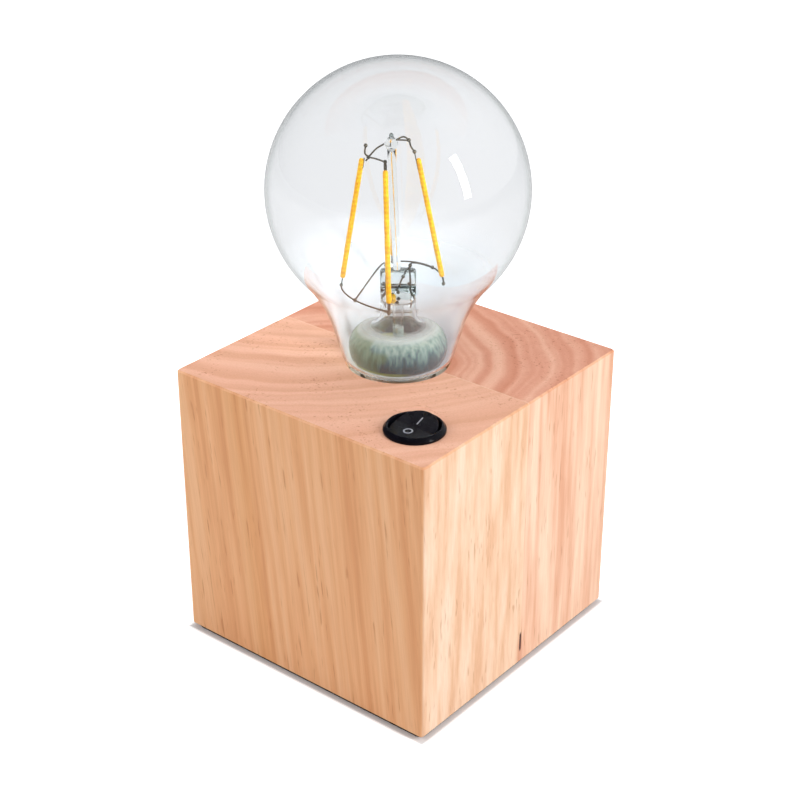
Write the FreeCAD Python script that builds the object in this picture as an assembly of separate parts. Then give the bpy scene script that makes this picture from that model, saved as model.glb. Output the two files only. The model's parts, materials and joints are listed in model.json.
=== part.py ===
"""Table lamp: a two-stave wooden cube with a bare filament-style lamp in a sunk E27 holder.

Millimetres, +Z up. The origin is the middle of the underside, the front face looks along -Y and
the round rocker switch sits in the front right corner of the top.
"""
import math
import os

import FreeCAD
import Part

# ---------------------------------------------------------------- block
side = 115.0                # width and depth of the cube
block_top = 112.5           # height of the wooden top above the table
pad_thickness = 1.2         # soft pad glued under the block
pad_inset = 1.4             # pad edge inside the block's faces
pad_corner = 3.0
seam_y = 2.0                # glue line between the front and the rear stave
upright_round = 1.6         # rounding of the four upright edges
top_ease = 0.6
bottom_ease = 1.0
pocket_wall = 13.5          # wood left round the bottom pocket
pocket_depth = 20.0
pocket_corner = 8.0
rabbet_wall = 5.5           # wood left round the recess of the cover plate
rabbet_corner = 5.0
plate_thickness = 3.0
plate_clearance = 0.4       # round the edge of the cover plate
cover_screw_ledge = 4.0     # cover screws outside the pocket's wall, across the block
cover_screw_share = 0.75    # and along it, as a share of the pocket's half width
cover_screw_length = 12.0
cover_screw_shank = 1.4
cover_screw_head = 2.7
cover_screw_head_height = 1.4
wood_screw_clearance = 0.05
pilot_spare = 1.0           # pilot hole past a screw's tip

# ---------------------------------------------------------------- cable inlet
cable_hole_radius = 5.2
cable_height = 12.4
grommet_bore = 3.3
grommet_flange = 7.4
grommet_flange_thickness = 1.8
grommet_lip = 6.4
grommet_clearance = 0.1
grommet_ease = 0.7

# ---------------------------------------------------------------- lamp bore and wiring ways
lamp_bore_radius = 19.0
lamp_bore_depth = 55.0
lamp_bore_ease = 0.5
web_hole_radius = 6.0
lead_hole_radius = 4.0

# ---------------------------------------------------------------- lamp holder
holder_radius = 18.5
holder_setback = 6.0        # rim of the holder below the wooden top
holder_clearance = 0.2      # round the shell
fixing_screw_offset = 6.2
fixing_screw_shank = 1.6
fixing_screw_head = 2.8
fixing_screw_head_height = 1.8
fixing_screw_length = 36.0
holder_floor = 4.0          # porcelain left above the terminal channel
channel_half = 4.0
channel_reach = 15.5
shell_clearance = 0.3       # round the lamp's cap
shell_wall = 0.4
shell_flange_reach = 4.6
shell_height = 23.0
tongue_width = 6.0
tongue_thickness = 0.5
tongue_rise = 2.9
tongue_foot = 6.4           # rivet of the tongue from the middle
tongue_flat_start = -1.5    # level stretch of the tongue, then its turned-down tip
tongue_flat_end = 2.5
tongue_tip = 4.5
contact_gap = 0.3           # between the lamp's contact and the tongue
terminal_width = 6.0
terminal_depth = 6.0
terminal_height = 7.0
terminal_offset = 9.0
terminal_wire_hole = 1.2
terminal_wire_inset = 1.0   # wire's hole from the block's middle, towards the lamp's axis
terminal_hole_spare = 0.5   # hole above the conductor's end
terminal_screw_shank = 1.4
terminal_screw_head = 2.3
terminal_screw_head_height = 1.6
terminal_screw_drop = 4.1   # below the roof of the channel
rivet_radius = 1.2
rivet_head = 1.9
rivet_head_height = 0.5
rivet_clearance = 0.05
neutral_rivet_offset = 11.2

# ---------------------------------------------------------------- switch
switch_inset = 19.0         # switch centre from the front and the right face
switch_bezel_radius = 10.95
switch_bezel_height = 2.2
switch_bezel_ease = 0.9
switch_body_radius = 9.85
switch_body_clearance = 0.15
switch_body_depth = 15.0
switch_hole_depth = 30.0
switch_opening = 9.15
switch_floor = 1.5
rocker_radius = 8.4
rocker_half_angle = 10.0    # each way from level, so the throw is twice this
rocker_ridge = 2.1          # low middle of its top above the pivot
rocker_skirt = 2.2          # underside below the pivot
rocker_pivot_drop = 0.8     # pivot below the wooden top
pivot_pin_radius = 1.2
pivot_clearance = 0.05
pivot_pin_gap = 0.1         # between a pin's end and the housing's outside
cut_margin = 1.0            # by which the rocker's blank overruns its round outline
stem_sink = 0.5             # overlap of the stem into the rocker
plunger_radius = 1.1
plunger_clearance = 0.1
plunger_reach = 9.6         # tip below the pivot
plunger_length = 5.0
rocker_stem_radius = 2.4
rocker_stem_drop = 6.4
plunger_tip = 0.5
spring_wall = 0.3
spring_clearance = 0.1
lever_half_length = 6.6
lever_width = 5.6
lever_thickness = 0.6
lever_half_angle = 8.0
fulcrum_height = 2.2        # above the floor of the housing
blade_width = 6.3
blade_thickness = 0.8
blade_drop = 8.0            # below the housing
blade_clearance = 0.1
line_blade_offset = 6.0
lever_contact_gap = 0.3

# ---------------------------------------------------------------- switched lead
lead_radius = 1.3
conductor_radius = 0.8
conductor_length = 4.0
lead_entry = 3.0            # straight run under the terminal
sleeve_wall = 0.8
sleeve_length = 8.5
sleeve_clearance = 0.15
boot_length = 4.0
boot_clearance = 0.05
lead_bend = 9.0
lead_bend_steps = 4
lead_height = 12.2          # of its run across the pocket
lead_web_offset = 4.0

# ---------------------------------------------------------------- lamp: glass
globe_radius = 46.8
globe_height = 65.9         # centre of the globe above the wooden top
glass_wall = 0.9
neck_radius = 19.8          # line of the tapered neck, taken at the wooden top
neck_taper = 15.5           # degrees from upright
neck_sweep = 50.0           # hollow curve between neck and globe
globe_steps = 10            # straight runs that stand for each curve of the glass
sweep_steps = 3
shoulder_steps = 3
shoulder_start = 4.0        # neck turns in here, above the wooden top
shoulder_radius = 6.5
skirt_radius = 12.55
skirt_depth = 9.0           # end of the skirt below the wooden top

# ---------------------------------------------------------------- lamp: cap
cap_radius = 13.0
cap_wall = 0.3
cap_rim_drop = 2.5          # rim below the wooden top
cap_height = 18.5
cap_cone_height = 2.5
cap_cone_radius = 11.6
cap_joint = 0.1
insulator_height = 4.0
insulator_tip_radius = 6.0
insulator_disc = 1.5
insulator_hole = 1.0
contact_radius = 4.8
contact_height = 2.0
contact_ease = 0.7

# ---------------------------------------------------------------- lamp: stem
stem_azimuth = 39.0         # the press lies across this direction
stem_wall = 0.9
bell_radius = 9.0
bell_centre_radius = 9.2
bell_centre_height = 6.2    # above the wooden top
bell_rim_height = 0.6
tube_radius = 6.5
bell_fillet = 6.0
stem_steps = 4
tube_top = 25.0
press_half_thickness = 2.3
press_taper = 5.0          # height over which the tube is pinched flat
press_top = 36.0
exhaust_radius = 2.0
exhaust_end = -3.0
arbor_radius = 1.45
arbor_foot_depth = 2.0      # foot of the arbor inside the press
arbor_foot_x = -0.4
arbor_top_x = -2.3
button_height = 83.0
button_radius = 2.3
button_half_height = 2.6
button_end = 1.0
pip_rise = 4.0              # end of the pip above the button's middle
pip_radius = 0.7

# ---------------------------------------------------------------- lamp: filaments and wires
filament_top = 77.5         # ends of the coated length above the wooden top
filament_bottom = 33.0
filament_radius = 0.95
tab_length = 3.0
tab_width = 1.1
tab_thickness = 0.35
left_top = (-12.6, 0.0)
left_bottom = (-20.0, -0.5)
front_top = (-4.3, -12.0)
front_bottom = (-3.2, -22.0)
right_top = (7.0, 0.0)
right_bottom = (15.8, 0.5)
back_top = (-1.5, 12.0)
back_bottom = (-2.0, 20.0)
wire_radius = 0.26
weld_clearance = 0.15
bow_steps = 6
lead_pin_offset = 4.3       # the leads' places in the press
lead_pin_clearance = 0.06
lead_pin_depth = 4.0        # their feet below the top of the tube
wire_gap = 0.4              # between the button and an upper wire
right_lead_lift = 0.8       # right upper wire above the button's middle
left_lead_bend = (3.0, 0.6, 1.0)      # bends of the upper wires from a filament's tab
left_bar_bend = (1.5, -4.5, 1.6)
right_lead_bend = (-2.6, 0.0, 5.4)
right_lead_knee = (-0.4, 0.0, 4.0)
right_bar_bend = (-2.0, 5.0, 1.4)
left_bow = (-15.2, -15.4)   # middles of the two lower bows
left_bow_drop = 2.2
right_bow = (12.6, 13.4)
right_bow_rise = 0.8
knee_rise = 1.4             # bend of each lower lead above the press
knee_reach = 2.4
knee_swing = 0.12           # share of the way round to the bow
knee_lift = 0.2

# ---------------------------------------------------------------- lamp: driver
board_radius = 11.9
board_thickness = 1.6
capacitor_radius = 3.4
capacitor_height = 11.0
capacitor_place = (-5.0, 4.2)
bridge_size = 5.0
bridge_height = 2.4
bridge_place = (4.6, -4.4)
cap_lead_radius = 0.4

# ---------------------------------------------------------------- levels worked out from these
tolerance = 1e-6
half = side / 2
block_bottom = pad_thickness
pocket_half = half - pocket_wall
pocket_roof = block_bottom + pocket_depth
cover_screw_reach = pocket_half + cover_screw_ledge
cover_screw_spread = pocket_half * cover_screw_share
rabbet_half = half - rabbet_wall
plate_top = block_bottom + plate_thickness
bore_floor = block_top - lamp_bore_depth
cap_rim = block_top - cap_rim_drop
cap_foot = cap_rim - cap_height
cap_end = cap_foot - cap_cone_height
insulator_tip = cap_end - insulator_height
contact_bottom = insulator_tip - cap_joint - contact_height
tongue_top = contact_bottom - contact_gap
cavity_floor = tongue_top - tongue_rise
holder_top = block_top - holder_setback
shell_inner = cap_radius + shell_clearance
shell_outer = shell_inner + shell_wall
channel_roof = cavity_floor - holder_floor
screw_seat = cavity_floor - fixing_screw_head_height
switch_x = half - switch_inset
switch_y = -half + switch_inset
housing_bottom = block_top - switch_body_depth
housing_floor = housing_bottom + switch_floor
rocker_pivot = block_top - rocker_pivot_drop
fulcrum = housing_floor + fulcrum_height
skirt_end = block_top - skirt_depth
board_top = skirt_end
sleeve_bottom = housing_bottom - blade_drop - 2 * sleeve_wall

X_AXIS = FreeCAD.Vector(1, 0, 0)
Y_AXIS = FreeCAD.Vector(0, 1, 0)
Z_AXIS = FreeCAD.Vector(0, 0, 1)
ORIGIN = FreeCAD.Vector(0, 0, 0)


# ---------------------------------------------------------------- shape helpers
def vec(x, y, z):
    return FreeCAD.Vector(x, y, z)


def rod(radius, low, high, x=0.0, y=0.0):
    """Upright cylinder between two levels."""
    return Part.makeCylinder(radius, high - low, vec(x, y, low), Z_AXIS)


def ring(inner, outer, low, high, x=0.0, y=0.0):
    return rod(outer, low, high, x, y).cut(rod(inner, low, high, x, y))


def block(x_size, y_size, low, high, x=0.0, y=0.0):
    """Upright box centred on x, y."""
    return Part.makeBox(x_size, y_size, high - low, vec(x - x_size / 2, y - y_size / 2, low))


def rounded_slab(half_size, corner, low, high):
    """Square slab with rounded upright edges."""
    slab = block(2 * half_size, 2 * half_size, low, high)
    return slab.makeFillet(corner, upright_edges(slab))


def upright_edges(shape):
    return [e for e in shape.Edges if abs(abs(e.tangentAt(e.FirstParameter).z) - 1) < tolerance]


def edges_at(shape, level):
    """Edges that lie wholly at one level."""
    found = []
    for edge in shape.Edges:
        box = edge.BoundBox
        if abs(box.ZMin - level) < tolerance and abs(box.ZMax - level) < tolerance:
            found.append(edge)
    return found


def revolve(pieces):
    """Turn a closed run of edges in the XZ plane about the lamp's axis."""
    face = Part.Face(Part.Wire(pieces))
    return face.revolve(ORIGIN, Z_AXIS, 360)


def line(a, b):
    return Part.LineSegment(vec(a[0], 0, a[1]), vec(b[0], 0, b[1])).toShape()


def stepped_arc(centre, radius, start, end, steps):
    """Arc in the XZ plane from one angle to another, in degrees, as short straight edges."""
    places = []
    for step in range(steps + 1):
        turn = math.radians(start + (end - start) * step / steps)
        places.append((centre[0] + radius * math.cos(turn), centre[1] + radius * math.sin(turn)))
    return [line(a, b) for a, b in zip(places, places[1:])]


def outline(points):
    """Closed run of straight edges through (radius, level) points."""
    return [line(a, b) for a, b in zip(points, points[1:] + points[:1])]


def angle_of(centre, point):
    return math.degrees(math.atan2(point[1] - centre[1], point[0] - centre[0]))


def tube(points, radius):
    """Round wire along straight runs with mitred corners."""
    section = Part.Wire(Part.makeCircle(radius, points[0], points[1] - points[0]))
    return Part.makePolygon(points).makePipeShell([section], True, False, 1)


def eased(points, bend, steps):
    """The points with each corner replaced by short runs round an arc."""
    path = [points[0]]
    for before, here, after in zip(points, points[1:], points[2:]):
        back = (before - here).normalize()
        ahead = (after - here).normalize()
        turn = math.pi - back.getAngle(ahead)
        centre = here + (back + ahead).normalize() * (bend / math.cos(turn / 2))
        first = here + back * (bend * math.tan(turn / 2)) - centre
        axis = back.cross(ahead)
        for step in range(steps + 1):
            swing = FreeCAD.Rotation(axis, -math.degrees(turn) * step / steps)
            path.append(centre + swing.multVec(first))
    return path + [points[-1]]


def stem_turn(shape):
    """From the stem's own frame to the lamp's: the press lies across the stem azimuth."""
    shape.rotate(ORIGIN, Z_AXIS, stem_azimuth)
    return shape


def above(point, height):
    """Point in the stem's frame at a height above the wooden top."""
    return vec(point[0], point[1], block_top + height)


# ---------------------------------------------------------------- wooden block
def cover_screw_places():
    reach = cover_screw_reach
    spread = cover_screw_spread
    return [(sx * reach, sy * spread) for sx in (-1, 1) for sy in (-1, 1)]


def fixing_screw_places():
    return [(0.0, sy * fixing_screw_offset) for sy in (-1, 1)]


def whole_block():
    body = block(side, side, block_bottom, block_top)
    body = body.makeFillet(upright_round, upright_edges(body))
    body = body.makeChamfer(top_ease, edges_at(body, block_top))
    body = body.makeChamfer(bottom_ease, edges_at(body, block_bottom))
    cuts = [
        rounded_slab(rabbet_half, rabbet_corner, block_bottom, plate_top),
        rounded_slab(pocket_half, pocket_corner, block_bottom, pocket_roof),
        rod(lamp_bore_radius, bore_floor, block_top),
        Part.makeCone(lamp_bore_radius, lamp_bore_radius + lamp_bore_ease, lamp_bore_ease,
                      vec(0, 0, block_top - lamp_bore_ease), Z_AXIS),
        rod(web_hole_radius, pocket_roof, bore_floor),
        rod(switch_body_radius + switch_body_clearance, block_top - switch_hole_depth, block_top,
            switch_x, switch_y),
        rod(lead_hole_radius, pocket_roof, block_top - switch_hole_depth, switch_x, switch_y),
        Part.makeCylinder(cable_hole_radius, pocket_wall, vec(0, pocket_half, cable_height), Y_AXIS),
        Part.makeCylinder(grommet_flange + grommet_clearance, grommet_flange_thickness,
                          vec(0, half - grommet_flange_thickness, cable_height), Y_AXIS),
    ]
    pilot = cover_screw_shank + wood_screw_clearance
    for x, y in cover_screw_places():
        cuts.append(rod(pilot, plate_top, block_bottom + cover_screw_length + pilot_spare, x, y))
    pilot = fixing_screw_shank + wood_screw_clearance
    screw_end = screw_seat - fixing_screw_length
    for x, y in fixing_screw_places():
        cuts.append(rod(pilot, screw_end - pilot_spare, bore_floor, x, y))
    for cut in cuts:
        body = body.cut(cut)
    return body


def front_stave(body):
    return body.common(Part.makeBox(side, half + seam_y, block_top, vec(-half, -half, 0)))


def rear_stave(body):
    return body.common(Part.makeBox(side, half - seam_y, block_top, vec(-half, seam_y, 0)))


def base_pad():
    return rounded_slab(half - pad_inset, pad_corner, 0, pad_thickness)


def cover_plate():
    plate = rounded_slab(rabbet_half - plate_clearance, rabbet_corner, block_bottom, plate_top)
    gap = wood_screw_clearance
    for x, y in cover_screw_places():
        plate = plate.cut(rod(cover_screw_shank + gap, block_bottom, plate_top, x, y))
        plate = plate.cut(rod(cover_screw_head + gap, block_bottom,
                              block_bottom + cover_screw_head_height, x, y))
    return plate


def headed_screw(shank, head, head_height, length, seat, x, y, head_up):
    """Round-headed screw: the head sits on one side of its seat, the shank goes the other way."""
    up = 1 if head_up else -1
    levels = sorted((seat, seat + up * head_height))
    body = rod(head, levels[0], levels[1], x, y)
    levels = sorted((seat, seat - up * length))
    return body.fuse(rod(shank, levels[0], levels[1], x, y))


def cover_screws():
    seat = block_bottom + cover_screw_head_height
    reach = cover_screw_length - cover_screw_head_height
    return Part.makeCompound([headed_screw(cover_screw_shank, cover_screw_head, cover_screw_head_height,
                                           reach, seat, x, y, False) for x, y in cover_screw_places()])


def cable_grommet():
    """Rubber bush through the rear wall: a flange sunk flush outside and a lip inside."""
    waist = cable_hole_radius - grommet_clearance
    inside = pocket_half - grommet_flange_thickness
    seat = half - grommet_flange_thickness
    points = [(grommet_bore, inside), (grommet_lip, inside), (grommet_lip, pocket_half),
              (waist, pocket_half), (waist, seat), (grommet_flange, seat),
              (grommet_flange, half - grommet_ease), (grommet_flange - grommet_ease, half),
              (grommet_bore, half)]
    bush = revolve(outline(points))
    bush.rotate(ORIGIN, X_AXIS, -90)
    bush.translate(vec(0, 0, cable_height))
    return bush


# ---------------------------------------------------------------- lamp holder
def holder_body():
    """Porcelain holder: a cup for the screw shell over an open channel for the two terminals."""
    body = rod(holder_radius, bore_floor, holder_top)
    body = body.cut(rod(shell_outer + holder_clearance, cavity_floor, holder_top))
    body = body.cut(block(2 * channel_reach, 2 * channel_half, bore_floor, channel_roof))
    hole = rivet_radius + rivet_clearance
    body = body.cut(rod(hole, channel_roof, cavity_floor, -tongue_foot))
    body = body.cut(rod(hole, channel_roof, cavity_floor, neutral_rivet_offset))
    gap = wood_screw_clearance
    for x, y in fixing_screw_places():
        body = body.cut(rod(fixing_screw_shank + gap, bore_floor, cavity_floor, x, y))
        body = body.cut(rod(fixing_screw_head + gap, screw_seat, cavity_floor, x, y))
    return body


def holder_fixing_screws():
    return Part.makeCompound([headed_screw(fixing_screw_shank, fixing_screw_head,
                                           fixing_screw_head_height, fixing_screw_length,
                                           screw_seat, x, y, True) for x, y in fixing_screw_places()])


def holder_screw_shell():
    """Brass shell with an inward flange on the porcelain's floor, riveted on one side."""
    top = cavity_floor + shell_height
    flange_top = cavity_floor + shell_wall
    inner_flange = shell_outer - shell_flange_reach
    points = [(inner_flange, cavity_floor), (shell_outer, cavity_floor), (shell_outer, top),
              (shell_inner, top), (shell_inner, flange_top), (inner_flange, flange_top)]
    shell = revolve(outline(points))
    return shell.cut(rod(rivet_radius + rivet_clearance, cavity_floor, flange_top, neutral_rivet_offset))


def holder_centre_contact():
    """Springy brass tongue: riveted foot, sloping arm and a rounded tip under the lamp's contact."""
    low = cavity_floor
    top = tongue_top
    thick = tongue_thickness
    foot_end = tongue_foot - rivet_head
    points = [(-tongue_foot - rivet_head, low), (-foot_end, low), (tongue_flat_start, top - thick),
              (tongue_flat_end, top - thick), (tongue_tip, top - 2 * thick), (tongue_tip, top - thick),
              (tongue_flat_end, top), (tongue_flat_start, top), (-foot_end, low + thick),
              (-tongue_foot - rivet_head, low + thick)]
    strip = Part.Face(Part.Wire(outline(points))).extrude(vec(0, tongue_width, 0))
    strip.translate(vec(0, -tongue_width / 2, 0))
    return strip.cut(rod(rivet_radius + rivet_clearance, low, low + thick, -tongue_foot))


def terminal(side_sign, rivet_x, clamped):
    """Brass terminal block under the channel's roof, with its rivet up through the porcelain."""
    x = side_sign * terminal_offset
    low = channel_roof - terminal_height
    body = block(terminal_width, terminal_depth, low, channel_roof, x)
    head_foot = cavity_floor + clamped
    body = body.fuse(rod(rivet_radius, channel_roof, head_foot, rivet_x))
    body = body.fuse(rod(rivet_head, head_foot, head_foot + rivet_head_height, rivet_x))
    wire_x = terminal_wire_x(side_sign)
    body = body.cut(rod(terminal_wire_hole, low, low + conductor_length + terminal_hole_spare, wire_x))
    outer = x + side_sign * terminal_width / 2
    hole = Part.makeCylinder(terminal_screw_shank + rivet_clearance, abs(outer - wire_x),
                             vec(wire_x, 0, channel_roof - terminal_screw_drop), X_AXIS * side_sign)
    return body.cut(hole)


def terminal_wire_x(side_sign):
    return side_sign * (terminal_offset - terminal_wire_inset)


def holder_live_terminal():
    return terminal(-1, -tongue_foot, tongue_thickness)


def holder_neutral_terminal():
    return terminal(1, neutral_rivet_offset, shell_wall)


def terminal_screws():
    """Two cheese-head clamping screws, one in each terminal block."""
    level = channel_roof - terminal_screw_drop
    screws = []
    for sign in (-1, 1):
        outer = sign * (terminal_offset + terminal_width / 2)
        tip = terminal_wire_x(sign) + sign * terminal_wire_hole
        shank = Part.makeCylinder(terminal_screw_shank, abs(outer - tip), vec(tip, 0, level), X_AXIS * sign)
        head = Part.makeCylinder(terminal_screw_head, terminal_screw_head_height,
                                 vec(outer, 0, level), X_AXIS * sign)
        screws.append(shank.fuse(head))
    return Part.makeCompound(screws)


# ---------------------------------------------------------------- switch
def at_switch(shape):
    shape.translate(vec(switch_x, switch_y, 0))
    return shape


def switch_housing():
    bezel_top = block_top + switch_bezel_height
    ease = switch_bezel_ease
    points = [(0, housing_bottom), (switch_body_radius, housing_bottom), (switch_body_radius, block_top),
              (switch_bezel_radius, block_top), (switch_bezel_radius, bezel_top - ease),
              (switch_bezel_radius - ease, bezel_top), (switch_opening, bezel_top),
              (switch_opening, housing_floor), (0, housing_floor)]
    body = revolve(outline(points))
    slot_x = blade_width + 2 * blade_clearance
    slot_y = blade_thickness + 2 * blade_clearance
    for y in (0.0, -line_blade_offset):
        body = body.cut(block(slot_x, slot_y, housing_bottom, housing_floor, 0, y))
    pins = Part.makeCylinder(pivot_pin_radius + pivot_clearance, 2 * switch_body_radius,
                             vec(-switch_body_radius, 0, rocker_pivot), X_AXIS)
    return at_switch(body.cut(pins))


def rocker_tilt(shape):
    """From level to the resting pose, with the O end pressed in, about the pivot."""
    shape.rotate(vec(0, 0, rocker_pivot), X_AXIS, rocker_half_angle)
    return at_switch(shape)


def switch_rocker():
    """Round rocker with a shallow V top, on two pins, over a hollow stem for the plunger."""
    rise = rocker_radius * math.tan(math.radians(rocker_half_angle))
    low = rocker_pivot - rocker_skirt
    ridge = rocker_pivot + rocker_ridge
    reach = rocker_radius + cut_margin
    end = ridge + rise * reach / rocker_radius
    profile = [vec(0, -reach, low), vec(0, reach, low), vec(0, reach, end), vec(0, 0, ridge),
               vec(0, -reach, end), vec(0, -reach, low)]
    wedge = Part.Face(Part.makePolygon(profile)).extrude(vec(2 * reach, 0, 0))
    wedge.translate(vec(-reach, 0, 0))
    disc = wedge.common(rod(rocker_radius, low, end))
    stem = rod(rocker_stem_radius, rocker_pivot - rocker_stem_drop, low + stem_sink)
    pin_end = switch_body_radius - pivot_pin_gap
    pins = Part.makeCylinder(pivot_pin_radius, 2 * pin_end, vec(-pin_end, 0, rocker_pivot), X_AXIS)
    body = disc.fuse([stem, pins])
    hole = rod(plunger_radius + plunger_clearance, rocker_pivot - rocker_stem_drop, rocker_pivot)
    return rocker_tilt(body.cut(hole).removeSplitter())


def switch_plunger():
    tip = rocker_pivot - plunger_reach
    pin = rod(plunger_radius, tip, tip + plunger_length)
    return rocker_tilt(pin.makeChamfer(plunger_tip, edges_at(pin, tip)))


def switch_spring():
    """Small coil between the plunger and the bottom of its hole, as a plain sleeve."""
    low = rocker_pivot - plunger_reach + plunger_length + spring_clearance
    outer = plunger_radius
    return rocker_tilt(ring(outer - spring_wall, outer, low, rocker_pivot - spring_clearance))


def switch_contact_lever():
    """Rocking contact plate on the fulcrum of the centre blade, front end up while off."""
    plate = block(lever_width, 2 * lever_half_length, fulcrum, fulcrum + lever_thickness)
    plate.rotate(vec(0, 0, fulcrum), X_AXIS, -lever_half_angle)
    return at_switch(plate)


def switch_centre_terminal():
    knife = fulcrum - lever_contact_gap
    blade = block(blade_width, blade_thickness, housing_bottom - blade_drop, knife)
    return at_switch(blade)


def switch_line_terminal():
    drop = line_blade_offset * math.sin(math.radians(lever_half_angle))
    top = fulcrum - drop - lever_contact_gap
    blade = block(blade_width, blade_thickness, housing_bottom - blade_drop, top, 0, -line_blade_offset)
    return at_switch(blade)


# ---------------------------------------------------------------- switched lead
def lead_sleeve():
    """Insulated push-on sleeve on the centre blade of the switch."""
    inner_x = blade_width + 2 * sleeve_clearance
    inner_y = blade_thickness + 2 * sleeve_clearance
    top = sleeve_bottom + sleeve_length - sleeve_wall
    body = block(inner_x + 2 * sleeve_wall, inner_y + 2 * sleeve_wall, sleeve_bottom, top)
    body = body.makeFillet(sleeve_wall, upright_edges(body))
    boot_end = sleeve_bottom - boot_length
    boot = rod(lead_radius + sleeve_wall, boot_end, sleeve_bottom)
    body = body.fuse(boot).cut(block(inner_x, inner_y, sleeve_bottom + sleeve_wall, top))
    return at_switch(body.cut(rod(lead_radius + boot_clearance, boot_end, sleeve_bottom)))


def switched_lead():
    """Lead from the switch down its way, across the pocket and up to the live terminal."""
    low = channel_roof - terminal_height
    wire_x = terminal_wire_x(-1)
    corners = [vec(switch_x, switch_y, sleeve_bottom), vec(switch_x, switch_y, lead_height),
               vec(-lead_web_offset, 0, lead_height), vec(-lead_web_offset, 0, bore_floor)]
    path = eased(corners, lead_bend, lead_bend_steps)
    path += [vec(wire_x, 0, low - lead_entry), vec(wire_x, 0, low)]
    return tube(path, lead_radius).fuse(rod(conductor_radius, low, low + conductor_length, wire_x))


# ---------------------------------------------------------------- lamp: cap
def cap_shell():
    points = [(cap_radius, cap_rim), (cap_radius, cap_foot), (cap_cone_radius, cap_end),
              (cap_cone_radius - cap_wall, cap_end), (cap_radius - cap_wall, cap_foot),
              (cap_radius - cap_wall, cap_rim)]
    return revolve(outline(points))


def cap_insulator():
    inner = cap_cone_radius - cap_wall - cap_joint
    top = cap_end + insulator_disc
    points = [(insulator_hole, top), (inner, top), (inner, cap_end - cap_joint),
              (cap_cone_radius, cap_end - cap_joint), (insulator_tip_radius, insulator_tip),
              (insulator_hole, insulator_tip)]
    return revolve(outline(points))


def cap_contact():
    top = insulator_tip - cap_joint
    button = rod(contact_radius, contact_bottom, top)
    return button.makeChamfer(contact_ease, edges_at(button, contact_bottom))


# ---------------------------------------------------------------- lamp: glass
def glass_profile(shift):
    """Edges from the shoulder's foot to the crown, moved inward by the shift."""
    taper = math.radians(neck_taper)
    along = (math.sin(taper), math.cos(taper))
    outward = (math.cos(taper), -math.sin(taper))
    crown = (0.0, block_top + globe_height)
    radius = globe_radius - shift
    start = (neck_radius + math.tan(taper) * shoulder_start, block_top + shoulder_start)
    turn_centre = (start[0] - outward[0] * shoulder_radius, start[1] - outward[1] * shoulder_radius)
    offset_x = start[0] + outward[0] * neck_sweep - crown[0]
    offset_z = start[1] + outward[1] * neck_sweep - crown[1]
    b = offset_x * along[0] + offset_z * along[1]
    c = offset_x ** 2 + offset_z ** 2 - (globe_radius + neck_sweep) ** 2
    travel = -b - math.sqrt(b * b - c)
    if travel < 0:
        travel = -b + math.sqrt(b * b - c)
    sweep_centre = (start[0] + outward[0] * neck_sweep + along[0] * travel,
                    start[1] + outward[1] * neck_sweep + along[1] * travel)
    low = (start[0] - outward[0] * shift, start[1] - outward[1] * shift)
    high = (low[0] + along[0] * travel, low[1] + along[1] * travel)
    join = angle_of(crown, sweep_centre)
    edges = stepped_arc(turn_centre, shoulder_radius - shift, -90, -neck_taper, shoulder_steps)
    edges.append(line(low, high))
    edges += stepped_arc(sweep_centre, neck_sweep + shift, 180 - neck_taper, 180 + join, sweep_steps)
    edges += stepped_arc(crown, radius, join, 90, globe_steps)
    foot = (turn_centre[0], turn_centre[1] - shoulder_radius + shift)
    return edges, foot, (0.0, crown[1] + radius)


def bulb_glass():
    outer, outer_foot, outer_crown = glass_profile(0.0)
    inner, inner_foot, inner_crown = glass_profile(glass_wall)
    bore = skirt_radius - glass_wall
    rest = [line(outer_foot, (skirt_radius, outer_foot[1])),
            line((skirt_radius, outer_foot[1]), (skirt_radius, skirt_end)),
            line((skirt_radius, skirt_end), (bore, skirt_end)),
            line((bore, skirt_end), (bore, inner_foot[1])),
            line((bore, inner_foot[1]), inner_foot)]
    crown = line(outer_crown, inner_crown)
    return revolve(Part.__sortEdges__(outer + rest + inner + [crown]))


def bell_profile(shift):
    """Edges of the flare from its rim up to the tube, moved inward by the shift."""
    centre = (bell_centre_radius, block_top + bell_centre_height)
    radius = bell_radius - shift
    fillet = bell_fillet + shift
    rim = block_top + bell_rim_height
    start = math.degrees(math.asin((rim - centre[1]) / radius))
    fillet_x = tube_radius + bell_fillet
    span = bell_radius + bell_fillet
    rise = math.sqrt(span ** 2 - (fillet_x - centre[0]) ** 2)
    fillet_centre = (fillet_x, centre[1] + rise)
    join = angle_of(centre, fillet_centre)
    edges = stepped_arc(centre, radius, start, join, stem_steps)
    edges += stepped_arc(fillet_centre, fillet, 180 + join, 180, stem_steps)
    rim_point = (centre[0] + radius * math.cos(math.radians(start)), rim)
    return edges, rim_point, (tube_radius - shift, fillet_centre[1])


def press():
    """Top of the tube, pinched flat between two jaws."""
    joint = block_top + tube_top
    top = block_top + press_top
    jaw = press_half_thickness
    profile = [vec(0, tube_radius, joint), vec(0, jaw, joint + press_taper), vec(0, jaw, top),
               vec(0, -jaw, top), vec(0, -jaw, joint + press_taper), vec(0, -tube_radius, joint),
               vec(0, tube_radius, joint)]
    wedge = Part.Face(Part.makePolygon(profile)).extrude(vec(2 * tube_radius, 0, 0))
    wedge.translate(vec(-tube_radius, 0, 0))
    return rod(tube_radius, joint, top).common(wedge)


def button():
    """Small waisted bead at the head of the arbor, with a pip."""
    middle = block_top + button_height
    pip_top = middle + pip_rise
    points = [(0, middle - button_half_height), (button_end, middle - button_half_height),
              (button_radius, middle), (button_end, middle + button_half_height),
              (pip_radius, pip_top), (0, pip_top)]
    bead = revolve(outline(points))
    bead.translate(vec(arbor_top_x, 0, 0))
    return bead


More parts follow.
